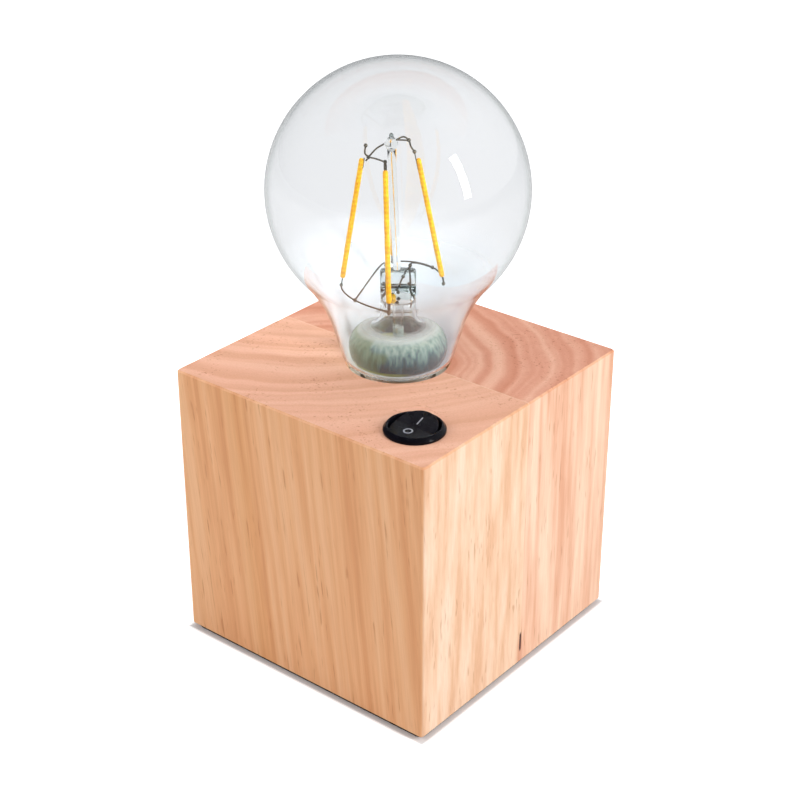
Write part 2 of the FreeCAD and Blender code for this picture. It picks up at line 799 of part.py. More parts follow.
def lead_pins(radius):
    """Straight parts of the two leads, through the press into the tube."""
    low = block_top + tube_top - lead_pin_depth
    high = block_top + press_top
    return [rod(radius, low, high, sign * lead_pin_offset) for sign in (-1, 1)]


def glass_stem():
    """Pressed stem: flare, tube, flat press, exhaust tube, arbor rod and its button."""
    outer, outer_rim, outer_top = bell_profile(0.0)
    inner, inner_rim, inner_top = bell_profile(stem_wall)
    joint = block_top + tube_top
    rest = [line(outer_rim, inner_rim), line(outer_top, (outer_top[0], joint)),
            line((outer_top[0], joint), (0, joint)), line((0, joint), (0, joint - stem_wall)),
            line((0, joint - stem_wall), (inner_top[0], joint - stem_wall)),
            line((inner_top[0], joint - stem_wall), inner_top)]
    bell = revolve(Part.__sortEdges__(outer + inner + rest))
    exhaust = rod(exhaust_radius, block_top + exhaust_end, joint - stem_wall / 2)
    foot = vec(arbor_foot_x, 0, block_top + press_top - arbor_foot_depth)
    reach = vec(arbor_top_x, 0, block_top + button_height) - foot
    arbor = Part.makeCylinder(arbor_radius, reach.Length, foot, reach)
    body = bell.fuse([press(), exhaust, arbor, button()])
    for hole in lead_pins(wire_radius + lead_pin_clearance):
        body = body.cut(hole)
    return stem_turn(body.removeSplitter())


# ---------------------------------------------------------------- lamp: filaments and wires
def filament(top, bottom):
    """Coated rod with a thin metal tab at each end."""
    high = above(top, filament_top)
    low = above(bottom, filament_bottom)
    along = (high - low).normalize()
    coated = Part.makeCylinder(filament_radius, (high - low).Length, low, along)
    full = (high - low).Length + 2 * tab_length
    tabs = Part.makeBox(tab_width, tab_thickness, full, vec(-tab_width / 2, -tab_thickness / 2, 0))
    tabs.Placement = FreeCAD.Placement(low - along * tab_length, FreeCAD.Rotation(Z_AXIS, along))
    return stem_turn(coated.fuse(tabs))


def tab_end(top, bottom, upper):
    """Where a wire meets the tab: just past its end, along the filament."""
    high = above(top, filament_top)
    low = above(bottom, filament_bottom)
    along = (high - low).normalize()
    reach = tab_length + weld_clearance
    if upper:
        return high + along * reach
    return low - along * reach


def side_wire(pieces):
    """Wires of one side, fused."""
    body = pieces[0]
    for piece in pieces[1:]:
        body = body.fuse(piece)
    return stem_turn(body)


def upper_wire_left():
    left = tab_end(left_top, left_bottom, True) + vec(0, 0, wire_radius)
    front = tab_end(front_top, front_bottom, True) + vec(0, 0, wire_radius)
    leave = vec(arbor_top_x - button_radius - wire_gap, 0, block_top + button_height)
    return side_wire([tube([leave, left + vec(*left_lead_bend), left], wire_radius),
                      tube([left, left + vec(*left_bar_bend), front], wire_radius)])


def upper_wire_right():
    right = tab_end(right_top, right_bottom, True) + vec(0, 0, wire_radius)
    back = tab_end(back_top, back_bottom, True) + vec(0, 0, wire_radius)
    leave = vec(arbor_top_x + button_radius + wire_gap, 0, block_top + button_height + right_lead_lift)
    return side_wire([tube([leave, right + vec(*right_lead_bend), right + vec(*right_lead_knee), right],
                           wire_radius),
                      tube([right, right + vec(*right_bar_bend), back], wire_radius)])


def bow(first, middle, last):
    """Points along the arc through three points."""
    curve = Part.Arc(first, middle, last).toShape()
    return curve.discretize(bow_steps + 1)


def lower_wire(sign, first, last, middle):
    """Bowed wire between two filament feet, carried by a lead out of the press."""
    foot = vec(sign * lead_pin_offset, 0, block_top + tube_top - lead_pin_depth)
    knee = vec(sign * lead_pin_offset, 0, block_top + press_top + knee_rise)
    drop = vec(0, 0, -wire_radius)
    out = vec(knee.x + sign * knee_reach, middle.y * knee_swing, knee.z + knee_lift)
    return side_wire([tube(bow(first + drop, middle, last + drop), wire_radius),
                      tube([foot, knee, out, middle], wire_radius)])


def lower_wire_left():
    left = tab_end(left_top, left_bottom, False)
    front = tab_end(front_top, front_bottom, False)
    return lower_wire(-1, left, front, vec(left_bow[0], left_bow[1], left.z - left_bow_drop))


def lower_wire_right():
    right = tab_end(right_top, right_bottom, False)
    back = tab_end(back_top, back_bottom, False)
    return lower_wire(1, right, back, vec(right_bow[0], right_bow[1], right.z + right_bow_rise))


# ---------------------------------------------------------------- lamp: driver
def driver_board():
    return rod(board_radius, board_top - board_thickness, board_top)


def driver_capacitor():
    x, y = capacitor_place
    return stem_turn(rod(capacitor_radius, board_top, board_top + capacitor_height, x, y))


def driver_bridge():
    x, y = bridge_place
    return stem_turn(block(bridge_size, bridge_size, board_top, board_top + bridge_height, x, y))


def cap_leads():
    """Lead to the centre contact and lead to the shell, under the board."""
    low = board_top - board_thickness
    centre = rod(cap_lead_radius, insulator_tip + cap_joint, low)
    shell_x = cap_radius - cap_wall - cap_lead_radius - cap_joint
    outer = rod(cap_lead_radius, cap_foot, low, shell_x)
    return Part.makeCompound([centre, outer])


# ---------------------------------------------------------------- build
def build():
    body = whole_block()
    filament_ends = {
        "filament_left": (left_top, left_bottom),
        "filament_front": (front_top, front_bottom),
        "filament_right": (right_top, right_bottom),
        "filament_back": (back_top, back_bottom),
    }
    shapes = {
        "front_stave": front_stave(body),
        "rear_stave": rear_stave(body),
    }
    for maker in (base_pad, cover_plate, cover_screws, cable_grommet, holder_body,
                  holder_fixing_screws, holder_screw_shell, holder_centre_contact, holder_live_terminal,
                  holder_neutral_terminal, terminal_screws, switch_housing, switch_rocker,
                  switch_plunger, switch_spring, switch_contact_lever,
                  switch_centre_terminal, switch_line_terminal, lead_sleeve, switched_lead,
                  bulb_glass, cap_shell, cap_insulator, cap_contact, glass_stem,
                  upper_wire_left, upper_wire_right, lower_wire_left, lower_wire_right,
                  driver_board, driver_capacitor, driver_bridge, cap_leads):
        shapes[maker.__name__] = maker()
    for name, ends in filament_ends.items():
        shapes[name] = filament(*ends)
    return shapes


os.makedirs("parts", exist_ok=True)
for node, solid in build().items():
    solid.exportStep("parts/" + node + ".step")
    print(node, "solids", len(solid.Solids), "volume", round(solid.Volume, 1), "valid", solid.isValid())
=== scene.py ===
# %% [markdown]
# # A bare bulb table lamp
# The lamp is a cube glued from two staves of wood, with a clear bulb screwed into its top and a
# round rocker switch in one corner. Its rigid frame is loaded first and never moved: everything
# built here is laid over it.

# %% Load the frame
import bpy
import bmesh
import json
import math
from mathutils import Matrix, Vector


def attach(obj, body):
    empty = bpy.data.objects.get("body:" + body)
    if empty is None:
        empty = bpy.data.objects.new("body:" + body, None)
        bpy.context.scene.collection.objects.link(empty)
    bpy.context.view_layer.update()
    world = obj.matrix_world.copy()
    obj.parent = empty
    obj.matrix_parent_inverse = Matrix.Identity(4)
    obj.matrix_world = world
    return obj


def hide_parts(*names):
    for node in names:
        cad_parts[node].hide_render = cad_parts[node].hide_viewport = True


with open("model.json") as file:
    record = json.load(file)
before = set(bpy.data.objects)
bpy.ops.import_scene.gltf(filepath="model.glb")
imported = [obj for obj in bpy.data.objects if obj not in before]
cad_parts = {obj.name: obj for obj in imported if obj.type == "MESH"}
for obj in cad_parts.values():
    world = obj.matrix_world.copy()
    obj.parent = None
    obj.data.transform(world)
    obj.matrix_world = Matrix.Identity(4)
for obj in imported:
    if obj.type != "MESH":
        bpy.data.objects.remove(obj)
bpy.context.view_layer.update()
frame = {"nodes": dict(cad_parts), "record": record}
nodes = frame["nodes"]

# %% [markdown]
# ## Sizes
# A designer's drawing of this lamp is in millimetres, and Blender works in metres, so every size
# is written in millimetres and multiplied once. The wooden top is the level that all the parts of
# the bulb are measured from, because the bulb goes up and down over it as it is screwed in.

# %% Sizes shared by several pieces
MM = 0.001
TOP = 112.5
print("wooden top at", TOP, "mm, or", TOP * MM, "m")

# %% [markdown]
# ## The camera
# A product photographer stands a little above the lamp and uses a long lens, so that the cube's
# sides stay nearly parallel. The place and the lens were worked out from the cube's seven visible
# corners. We could aim with a Track To constraint, but a rotation set once can't drift later.

# %% Camera
CAMERA_PLACE, CAMERA_AIM = (0.36584, -0.45031, 0.40074), (-0.5573, 0.6876, -0.4655)
LENS = 79.34
camera = bpy.data.objects.new("camera", bpy.data.cameras.new("camera"))
bpy.context.scene.collection.objects.link(camera)
camera.location = CAMERA_PLACE
camera.rotation_mode = "QUATERNION"
camera.rotation_quaternion = Vector(CAMERA_AIM).to_track_quat("-Z", "Y")
camera.data.lens = LENS
camera.data.sensor_width = 36.0
camera.data.clip_start, camera.data.clip_end = 0.02, 20.0
bpy.context.scene.camera = camera
bpy.context.scene.view_settings.view_transform = "Standard"
print("camera", round(camera.location.length, 3), "m from the lamp's foot")

# %% [markdown]
# ## Node helpers
# A finish could be wired by hand in the shader editor. Written as code, it repeats the same two
# steps: make a node and join two sockets. One small function takes that up, and a few more give
# the sums short names, so that each finish below reads like a list of what it is made of.

# %% Node helpers
def put(tree, kind, inputs=None, **settings):
    """Adds a node, sets its options and its unlinked inputs, and links the inputs given sockets."""
    node = tree.nodes.new(kind)
    for name, value in settings.items():
        setattr(node, name, value)
    for name, value in (inputs or {}).items():
        if isinstance(value, bpy.types.NodeSocket):
            tree.links.new(value, node.inputs[name])
        else:
            node.inputs[name].default_value = value
    return node


def maths(tree, operation, a, b=0.0):
    """One Math node; a and b are numbers or sockets."""
    return put(tree, "ShaderNodeMath", {0: a, 1: b}, operation=operation).outputs[0]


def times(tree, first, *others):
    """Product of several numbers or sockets."""
    for other in others:
        first = maths(tree, "MULTIPLY", first, other)
    return first


def plus(tree, a, b):
    return maths(tree, "ADD", a, b)


def away(tree, value, centre):
    """How far a value is from a centre, to either side."""
    return maths(tree, "ABSOLUTE", maths(tree, "SUBTRACT", value, centre))


def axes(tree, vector):
    """The X, Y and Z of a vector."""
    return put(tree, "ShaderNodeSeparateXYZ", {0: vector}).outputs


def scaled(tree, vector, factors):
    """A vector with each axis multiplied by its own factor."""
    return put(tree, "ShaderNodeVectorMath", {0: vector, 1: factors},
               operation="MULTIPLY").outputs[0]


print("helpers for numbers and vectors are ready")

# %% [markdown]
# ## Ranges
# Most masks in this lamp are a height or a noise, stretched so that only a part of its range
# counts. A Color Ramp could do that too, but Map Range takes plain numbers, so a mask can be given
# in millimetres.

# %% Range helpers
def stretch(tree, value, low, high):
    """0 at low, 1 at high, and smooth in between; low may be the larger one."""
    return put(tree, "ShaderNodeMapRange", {"Value": value, "From Min": low, "From Max": high},
               interpolation_type="SMOOTHSTEP").outputs["Result"]


def run(tree, value, low, high, start=0.0, end=1.0):
    """A straight run from start, where the value is low, to end, where it is high."""
    return put(tree, "ShaderNodeMapRange", {"Value": value, "From Min": low, "From Max": high,
                                            "To Min": start, "To Max": end}).outputs["Result"]


def noise(tree, vector, scale, detail=2.0, roughness=0.5):
    """Cloudy noise that keeps mostly between 0.3 and 0.7."""
    return put(tree, "ShaderNodeTexNoise", {"Vector": vector, "Scale": scale, "Detail": detail,
                                            "Roughness": roughness}).outputs[0]


print("helpers for masks are ready")

# %% [markdown]
# ## Colours
# A finish runs through a few near colours, which is what Color Ramps are best at, and marks and
# shades are laid over it with Mix. Colours read off a screen can't go into a shader as they are:
# a shader counts light, so they are turned into linear ones first, or they come out too pale.

# %% Colour helpers
def ramp(tree, factor, stops):
    """Colour ramp with stops of (place, colour)."""
    node = put(tree, "ShaderNodeValToRGB", {"Fac": factor})
    elements = node.color_ramp.elements
    while len(elements) < len(stops):
        elements.new(0.5)
    for element, (place, colour) in zip(elements, stops):
        element.position = place
        element.color = (*colour, 1.0)
    return node.outputs["Color"]


def blend(tree, factor, a, b, how="MIX"):
    """Mix of two colours."""
    node = put(tree, "ShaderNodeMix", data_type="RGBA", blend_type=how)
    for index, value in ((0, factor), (6, a), (7, b)):
        if isinstance(value, bpy.types.NodeSocket):
            tree.links.new(value, node.inputs[index])
        else:
            node.inputs[index].default_value = value if index == 0 else (*value, 1.0)
    return node.outputs[2]


def tinted(tree, amount, colour, tint):
    """A colour that is multiplied by a tint where the amount is 1."""
    return blend(tree, amount, colour, blend(tree, 1.0, colour, tint, "MULTIPLY"))


def rgb(red, green, blue):
    """A colour read off a screen, 0 to 255, as the linear colour that a shader takes."""
    return tuple((c / 255 / 12.92) if c < 10 else ((c / 255 + 0.055) / 1.055) ** 2.4
                 for c in (red, green, blue))


print("pale wood as a linear colour:", [round(c, 3) for c in rgb(253, 218, 180)])

# %% [markdown]
# ## A group for timber
# Wood has its pattern right through it: rings about the heart of the tree, and fibres along it.
# We could paint that on each face, but then the corners wouldn't meet. A solid texture gets it
# right by itself: the rings are the distance from a nearly upright line, the heart, so the same
# formula gives arcs on the sawn top and long streaks down the sides.

# %% Timber group: its sockets and its rings
def group_with(name, inputs, outputs):
    """Node group of number inputs (a vector where the value is None); returns it and its ends."""
    group = bpy.data.node_groups.new(name, "ShaderNodeTree")
    for socket, value in inputs.items():
        kind = "NodeSocketVector" if value is None else "NodeSocketFloat"
        made = group.interface.new_socket(name=socket, in_out="INPUT", socket_type=kind)
        if value is not None:
            made.default_value = value
    for socket in outputs:
        group.interface.new_socket(name=socket, in_out="OUTPUT", socket_type="NodeSocketFloat")
    start, end = group.nodes.new("NodeGroupInput"), group.nodes.new("NodeGroupOutput")
    return group, start.outputs, end.inputs


timber, given, out = group_with(
    "timber", {"Vector": None, "Heart X": 0.1, "Heart Y": 0.1, "Ring Width": 0.006, "Lean": 0.0},
    ["Rings", "Streaks", "Fibres", "Pores"])
place = axes(timber, given["Vector"])
lean = times(timber, place["Z"], given["Lean"])
upright = put(timber, "ShaderNodeCombineXYZ", {"X": plus(timber, place["X"], lean),
                                               "Y": place["Y"], "Z": place["Z"]}).outputs[0]
sway = noise(timber, scaled(timber, upright, (1.0, 1.0, 0.10)), 28.0)
east = plus(timber, maths(timber, "SUBTRACT", place["X"], given["Heart X"]), lean)
north = maths(timber, "SUBTRACT", place["Y"], given["Heart Y"])
reach = maths(timber, "SQRT", plus(timber, times(timber, east, east), times(timber, north, north)))
reach = plus(timber, reach, times(timber, sway, 12.0 * MM))
rings = put(timber, "ShaderNodeTexNoise",
            {"W": maths(timber, "DIVIDE", reach, given["Ring Width"]), "Scale": 1.0, "Detail": 2.0},
            noise_dimensions="1D").outputs[0]
timber.links.new(rings, out["Rings"])
print("timber group so far:", len(timber.nodes), "nodes")

# %% [markdown]
# ## Streaks, fibres and pores
# Along the tree everything is long, so one noise, pressed flat along the height, gives all three:
# at a low scale broad streaks, at a high one hair-thin fibres. The pores of rubberwood are short
# dark dashes that come in flocks, which is a noise with only its peaks kept, under a patchy mask.

# %% Timber group: what runs along the grain
for name, scale, flat, detail in (("Streaks", 260.0, 0.030, 3.0), ("Fibres", 1500.0, 0.035, 2.0)):
    grain = scaled(timber, upright, (1.0, 1.0, flat))
    timber.links.new(noise(timber, grain, scale, detail), out[name])
dashes = noise(timber, scaled(timber, upright, (1.0, 1.0, 0.085)), 900.0, 1.0)
flocks = noise(timber, given["Vector"], 55.0)
pores = times(timber, stretch(timber, dashes, 0.62, 0.72), stretch(timber, flocks, 0.42, 0.62))
timber.links.new(pores, out["Pores"])
print("timber group:", len(timber.nodes), "nodes")

# %% [markdown]
# ## A group for small unevenness
# Nothing made is perfectly even: moulded plastic has a faint orange peel, foam has cells, metal
# has handling marks. One group gives a fine and a coarse noise, and each finish chooses how much
# of them goes to its colour, its roughness and its bump.

# %% Unevenness group
uneven, given, out = group_with("unevenness", {"Vector": None, "Fine": 2000.0, "Coarse": 120.0},
                                ["Fine", "Coarse", "Scratches"])
uneven.links.new(noise(uneven, given["Vector"], given["Fine"], 3.0), out["Fine"])
uneven.links.new(noise(uneven, given["Vector"], given["Coarse"], 4.0, 0.6), out["Coarse"])
lines = noise(uneven, scaled(uneven, given["Vector"], (0.12, 1.0, 1.0)), given["Fine"], 1.0)
uneven.links.new(stretch(uneven, lines, 0.60, 0.74), out["Scratches"])
print("unevenness group:", len(uneven.nodes), "nodes")

# %% [markdown]
# ## Plain finishes from one recipe
# Rubber, plastic, porcelain and metal differ in a few numbers: two near colours, how shiny they
# are, how rough to the touch. One function builds them all from the unevenness group, and the
# Principled shader stays in the material itself, with its constant values set on its own sockets.

# %% Recipe for plain finishes
def start_material(name):
    """New material; returns it, its tree, its shader and the place of a point on the object."""
    material = bpy.data.materials.new(name)
    material.use_nodes = True
    tree = material.node_tree
    spot = put(tree, "ShaderNodeTexCoord").outputs["Object"]
    return material, tree, tree.nodes["Principled BSDF"], spot


def unevenness(tree, spot, fine=2000.0, coarse=120.0):
    """The group's outputs at this finish's own scales."""
    return put(tree, "ShaderNodeGroup", {"Vector": spot, "Fine": fine, "Coarse": coarse},
               node_tree=uneven).outputs


def bump(tree, shader, height, strength, depth):
    """Relief of a depth in mm."""
    node = put(tree, "ShaderNodeBump",
               {"Height": height, "Strength": strength, "Distance": depth * MM})
    tree.links.new(node.outputs[0], shader.inputs["Normal"])


def finish(name, dark, light, roughness, metal=0.0, fine=2000.0, coarse=120.0, relief=0.02,
           coat=0.0, marks=0.0):
    """Material whose colour runs between two near ones, with uneven gloss and a fine relief."""
    material, tree, shader, spot = start_material(name)
    out = unevenness(tree, spot, fine, coarse)
    colour = ramp(tree, out["Coarse"], [(0.35, dark), (0.65, light)])
    if marks:
        worn = tuple(min(1.0, 2.2 * c + 0.02) for c in light)
        colour = blend(tree, times(tree, out["Scratches"], marks), colour, worn)
    tree.links.new(colour, shader.inputs["Base Color"])
    gloss = run(tree, out["Coarse"], 0.3, 0.7, roughness - 0.06, roughness + 0.06)
    tree.links.new(gloss, shader.inputs["Roughness"])
    bump(tree, shader, out["Fine"], 0.5, relief)
    shader.inputs["Metallic"].default_value = metal
    shader.inputs["Coat Weight"].default_value = coat
    return material


print("recipe for plain finishes is ready")

# %% [markdown]
# ## The plain finishes
# A maker's list of materials: what each part is made of, its darker and lighter colour, its
# roughness, and what is special about it. A table is easier to compare and to change than seventeen
# node trees, and a loop turns each row into a material under the name the record uses for it.

# %% Plain finishes
PLAIN = {
    "pad_foam": ((38, 33, 34), (62, 54, 55), 0.92, {"fine": 1600, "relief": 0.12}),
    "plate_board": ((150, 116, 82), (184, 148, 108), 0.8,
                    {"fine": 1400, "relief": 0.08, "marks": 0.25}),
    "steel_screws": ((160, 160, 164), (205, 205, 208), 0.32, {"metal": 1.0}),
    "grommet_rubber": ((20, 20, 20), (38, 38, 38), 0.65, {}),
    "porcelain": ((222, 219, 208), (242, 240, 232), 0.2, {"coat": 0.4, "relief": 0.03}),
    "brass": ((190, 150, 82), (224, 190, 118), 0.3, {"metal": 1.0, "marks": 0.3}),
    "switch_plunger_white": ((214, 212, 202), (232, 230, 222), 0.45, {}),
    "spring_steel": ((140, 140, 144), (190, 190, 194), 0.3, {"metal": 1.0}),
    "lead_sheath": ((104, 60, 36), (128, 78, 48), 0.45, {}),
    "sleeve_sheath": ((196, 42, 34), (218, 62, 50), 0.4, {}),
    "cap_metal": ((196, 196, 198), (228, 228, 230), 0.25, {"metal": 1.0, "marks": 0.2}),
    "cap_insulation": ((16, 16, 18), (34, 34, 38), 0.15, {}),
    "contact_solder": ((150, 150, 152), (196, 196, 198), 0.42,
                       {"metal": 1.0, "fine": 900, "relief": 0.08}),
    "support_wire": ((66, 62, 52), (120, 112, 96), 0.36, {"metal": 1.0}),
    "board_green": ((44, 52, 34), (66, 76, 48), 0.45, {"marks": 0.3}),
    "capacitor_sleeve": ((34, 40, 44), (58, 66, 72), 0.25, {}),
    "bridge_black": ((30, 30, 32), (48, 48, 50), 0.5, {}),
}
finishes = {slot: finish(slot, rgb(*dark), rgb(*light), roughness, **more)
            for slot, (dark, light, roughness, more) in PLAIN.items()}
print("plain finishes:", len(finishes))

# %% [markdown]
# ## The glued seam
# The two staves meet in a thin pale line. It crosses the top and runs down the right face,
# where a small dark gash sits near its foot with a reddish stain about it. Such marks could be
# small pieces of mesh, but they are no thicker than a stain in the wood, so they go into its
# colour, as masks of the distance from the seam and of the height.

# %% Marks along the seam
SEAM = 2.0 * MM


def seam_marks(tree, colour, place, right_face, fibres):
    """Thin pale line along the seam all round, and a stain and a gash low on the right face."""
    from_seam = plus(tree, away(tree, place["Y"], SEAM), times(tree, fibres, 0.3 * MM))
    pale_seam_line = times(tree, stretch(tree, from_seam, 0.45 * MM, 0.15 * MM), 0.5)
    colour = blend(tree, pale_seam_line, colour, rgb(246, 214, 182))
    stain = times(tree, stretch(tree, from_seam, 3.0 * MM, 0.6 * MM),
                  stretch(tree, place["Z"], 15.0 * MM, 9.0 * MM), right_face, 0.55)
    colour = blend(tree, stain, colour, rgb(204, 128, 100))
    gash = times(tree, stretch(tree, from_seam, 0.95 * MM, 0.45 * MM),
                 stretch(tree, away(tree, place["Z"], 11.0 * MM), 4.8 * MM, 3.0 * MM), right_face)
    return blend(tree, gash, colour, rgb(66, 26, 20))


print("seam at y =", SEAM, "m")

# %% [markdown]
# ## The two kinds of wood
# Both staves are the same pale rubberwood, but from different planks: the front one is quiet and
# golden, with one darker band down its front, the rear one pinker with bold rings. Sawn ends drink
# more oil than planed faces, so the top is pinker than the sides, which a mask from the surface's
# own normal gives us. Faces that look along X, the right face among them, are painted paler by
# the same kind of mask: painted light, for the strip light that falls on the right face. Two image
# textures would be quicker, but would show the same on each side.

# %% Recipe for wood
def wood(name, heart, ring_width, lean, side_tones, top_tones, painted_light_x_faces, ring_pull, band=None):
    """Timber whose side and end grain run through three tones each."""
    material, tree, shader, spot = start_material(name)
    grain = put(tree, "ShaderNodeGroup",
                {"Vector": spot, "Heart X": heart[0] * MM, "Heart Y": heart[1] * MM,
                 "Ring Width": ring_width * MM, "Lean": lean}, node_tree=timber).outputs
    place = axes(tree, spot)
    facing = axes(tree, put(tree, "ShaderNodeTexCoord").outputs["Normal"])
    tone = plus(tree, times(tree, grain["Rings"], ring_pull),
                times(tree, grain["Streaks"], 1.0 - ring_pull))
    side = ramp(tree, tone, list(zip((0.39, 0.5, 0.61), side_tones)))
    tone = plus(tree, times(tree, grain["Rings"], 0.85), times(tree, grain["Streaks"], 0.15))
    top = ramp(tree, tone, list(zip((0.36, 0.5, 0.64), top_tones)))
    if band:
        across = plus(tree, place["X"], times(tree, place["Z"], lean))
        near = stretch(tree, away(tree, across, band * MM), 9.0 * MM, 2.0 * MM)
        side = tinted(tree, times(tree, near, 0.8), side, (0.92, 0.84, 0.72))
    # Painted light: faces that look along X are painted paler, as the right face is lit brighter.
    side = tinted(tree, stretch(tree, maths(tree, "ABSOLUTE", facing["X"]), 0.55, 0.95), side, painted_light_x_faces)
    end_face = stretch(tree, maths(tree, "ABSOLUTE", facing["Z"]), 0.6, 0.9)
    colour = blend(tree, end_face, side, top)
    fibre = stretch(tree, grain["Fibres"], 0.38, 0.62)
    colour = tinted(tree, times(tree, fibre, 0.16), colour, (0.72, 0.6, 0.5))
    colour = tinted(tree, times(tree, grain["Pores"], 0.55), colour, (0.62, 0.44, 0.32))
    colour = seam_marks(tree, colour, place, stretch(tree, facing["X"], 0.6, 0.9), grain["Fibres"])
    tree.links.new(colour, shader.inputs["Base Color"])
    tree.links.new(run(tree, grain["Streaks"], 0.3, 0.7, 0.50, 0.66), shader.inputs["Roughness"])
    relief = maths(tree, "SUBTRACT", grain["Fibres"], times(tree, grain["Pores"], 1.5))
    bump(tree, shader, relief, 0.35, 0.06)
    shader.inputs["Specular IOR Level"].default_value = 0.35
    return material


print("recipe for wood is ready")

# %% [markdown]
# ## Two planks
# A cabinetmaker would pick two planks and turn them until they look well together. Here a plank is
# picked by where its heart lies, how wide its rings are and how far it leans. The front stave's
# heart is off the block, so its rings cross the top as wide arcs; the rear one's lies just across
# the seam, so the top shows tight round arcs about it.

# %% The two staves' wood
front_wood = wood("wood_front", (-70.0, 55.0), 7.0, 0.10,
                  (rgb(226, 160, 110), rgb(237, 177, 128), rgb(242, 188, 142)),
                  (rgb(224, 166, 136), rgb(232, 176, 148), rgb(238, 185, 158)),
                  (1.03, 1.33, 1.83), 0.4, band=-18.0)
rear_wood = wood("wood_rear", (-15.0, -15.0), 9.0, 0.05,
                 (rgb(222, 150, 106), rgb(236, 174, 130), rgb(242, 190, 146)),
                 (rgb(212, 142, 114), rgb(224, 160, 134), rgb(236, 182, 156)),
                 (1.03, 1.27, 1.66), 0.45)
print("wood:", front_wood.name, rear_wood.name)

# %% [markdown]
# ## Glass
# Thin blown glass is nearly invisible face on and shows as a grey line where we look along its
# wall. Two real walls and a little Volume Absorption give some of that line, and a Layer Weight
# tint paints the rest on as painted shade, darker where the glass is seen edge on, so it shows
# against a white room too. Glass that bends light would throw a hard dark shadow without
# caustics, so shadow rays pass through a plain transparent shader. A painted reflection is a
# colour painted on where the glass would mirror its surroundings: there the transmission comes
# down and the painted colour shows instead.

# %% Recipe for glass
def glass(name, face_on, edge_on, painted_reflection):
    """Clear glass, painted darker edge on; painted_reflection gives a colour and its share per
    point.
    """
    material, tree, shader, spot = start_material(name)
    facing = put(tree, "ShaderNodeLayerWeight", {"Blend": 0.5}).outputs["Facing"]
    # Painted shade: the colour darkens towards edge_on where the glass is seen along its wall.
    colour = ramp(tree, facing, [(0.0, face_on), (0.72, face_on), (0.98, edge_on)])
    rays = put(tree, "ShaderNodeLightPath").outputs
    # Painted reflection: a colour painted on, lowering the transmission where it shows.
    tint, amount = painted_reflection(tree, spot, axes(tree, spot)["Z"], rays)
    tree.links.new(blend(tree, amount, colour, tint), shader.inputs["Base Color"])
    tree.links.new(maths(tree, "SUBTRACT", 1.0, amount), shader.inputs["Transmission Weight"])
    shader.inputs["Roughness"].default_value = 0.0
    shader.inputs["IOR"].default_value = 1.5
    output = tree.nodes["Material Output"]
    volume = put(tree, "ShaderNodeVolumeAbsorption",
                 {"Color": (0.62, 0.70, 0.68, 1.0), "Density": 60.0})
    tree.links.new(volume.outputs[0], output.inputs["Volume"])
    unshaded = put(tree, "ShaderNodeBsdfTransparent", {"Color": (0.97, 0.98, 0.98, 1.0)})
    mixed = put(tree, "ShaderNodeMixShader",
                {0: rays["Is Shadow Ray"], 1: shader.outputs[0], 2: unshaded.outputs[0]})
    tree.links.new(mixed.outputs[0], output.inputs["Surface"])
    return material


print("recipe for glass is ready")

# %% [markdown]
# ## The globe's glass
# In the neck the far wall bends back on itself and mirrors the bright room, so the neck looks
# milky and little wood shows through it. That is a painted reflection: a pale colour painted on
# the far wall, which a mask on the ray's depth finds, as a ray has been through glass more than
# once before it gets there. The thick foot gets a little of the same painted reflection.

# %% Globe glass
def neck_painted_reflection(tree, spot, height, rays):
    """Painted reflection of the bright room on the far wall of the neck and on the thick foot."""
    beyond = maths(tree, "GREATER_THAN", rays["Transmission Depth"], 1.5)
    low = stretch(tree, height, (TOP + 48.0) * MM, (TOP + 14.0) * MM)
    foot = times(tree, stretch(tree, height, (TOP + 2.0) * MM, (TOP + 0.6) * MM), 0.3)
    return (0.86, 0.92, 0.98), maths(tree, "MAXIMUM", times(tree, beyond, low, 0.72), foot)


finishes["globe_glass"] = glass("globe_glass", (0.968, 0.972, 0.985), (0.55, 0.61, 0.60), neck_painted_reflection)
print("glass:", finishes["globe_glass"].name)

# %% [markdown]
# ## The stem's glass
# The stem's flare curves round like a bowl and mirrors the dark inside of the cap: grey-green,
# in upright streaks that get darker lower down, with olive on the left side and along the rim. A
# true mirror image would need an exact copy of what is in the cap. A painted reflection of streaks
# looks the same, costs no render time and turns with the bulb, because it is fixed to the glass.

# %% Stem glass
TO_THE_LEFT = (-0.776, -0.63, 0.0)


def flare_painted_reflection(tree, spot, height, rays):
    """Painted reflection of the cap and the board in the flare, darker and streaky lower down."""
    low = stretch(tree, height, (TOP + 15.5) * MM, (TOP + 12.5) * MM)
    streaks = noise(tree, scaled(tree, spot, (1.0, 1.0, 0.16)), 700.0)
    patches = noise(tree, spot, 120.0, 1.0)
    level = run(tree, height, (TOP + 1.5) * MM, (TOP + 14.0) * MM)
    tone = plus(tree, level, times(tree, maths(tree, "SUBTRACT", streaks, 0.5), 1.3))
    colour = ramp(tree, tone, [(0.16, rgb(0, 48, 58)), (0.45, rgb(42, 86, 92)),
                               (0.72, rgb(112, 140, 132)), (0.98, rgb(146, 164, 152))])
    # Olive on the left and along the rim, also part of the painted reflection.
    left = put(tree, "ShaderNodeVectorMath", {0: spot, 1: TO_THE_LEFT},
               operation="DOT_PRODUCT").outputs["Value"]
    ragged = plus(tree, left, times(tree, maths(tree, "SUBTRACT", patches, 0.5), 30.0 * MM))
    olive = times(tree, stretch(tree, ragged, 5.0 * MM, 11.0 * MM), 0.55)
    colour = blend(tree, olive, colour, rgb(92, 108, 36))
    rim = times(tree, stretch(tree, height, (TOP + 3.4) * MM, (TOP + 2.4) * MM),
                stretch(tree, left, -6.0 * MM, 2.0 * MM))
    return blend(tree, rim, colour, rgb(128, 132, 36)), times(tree, low, 0.95)


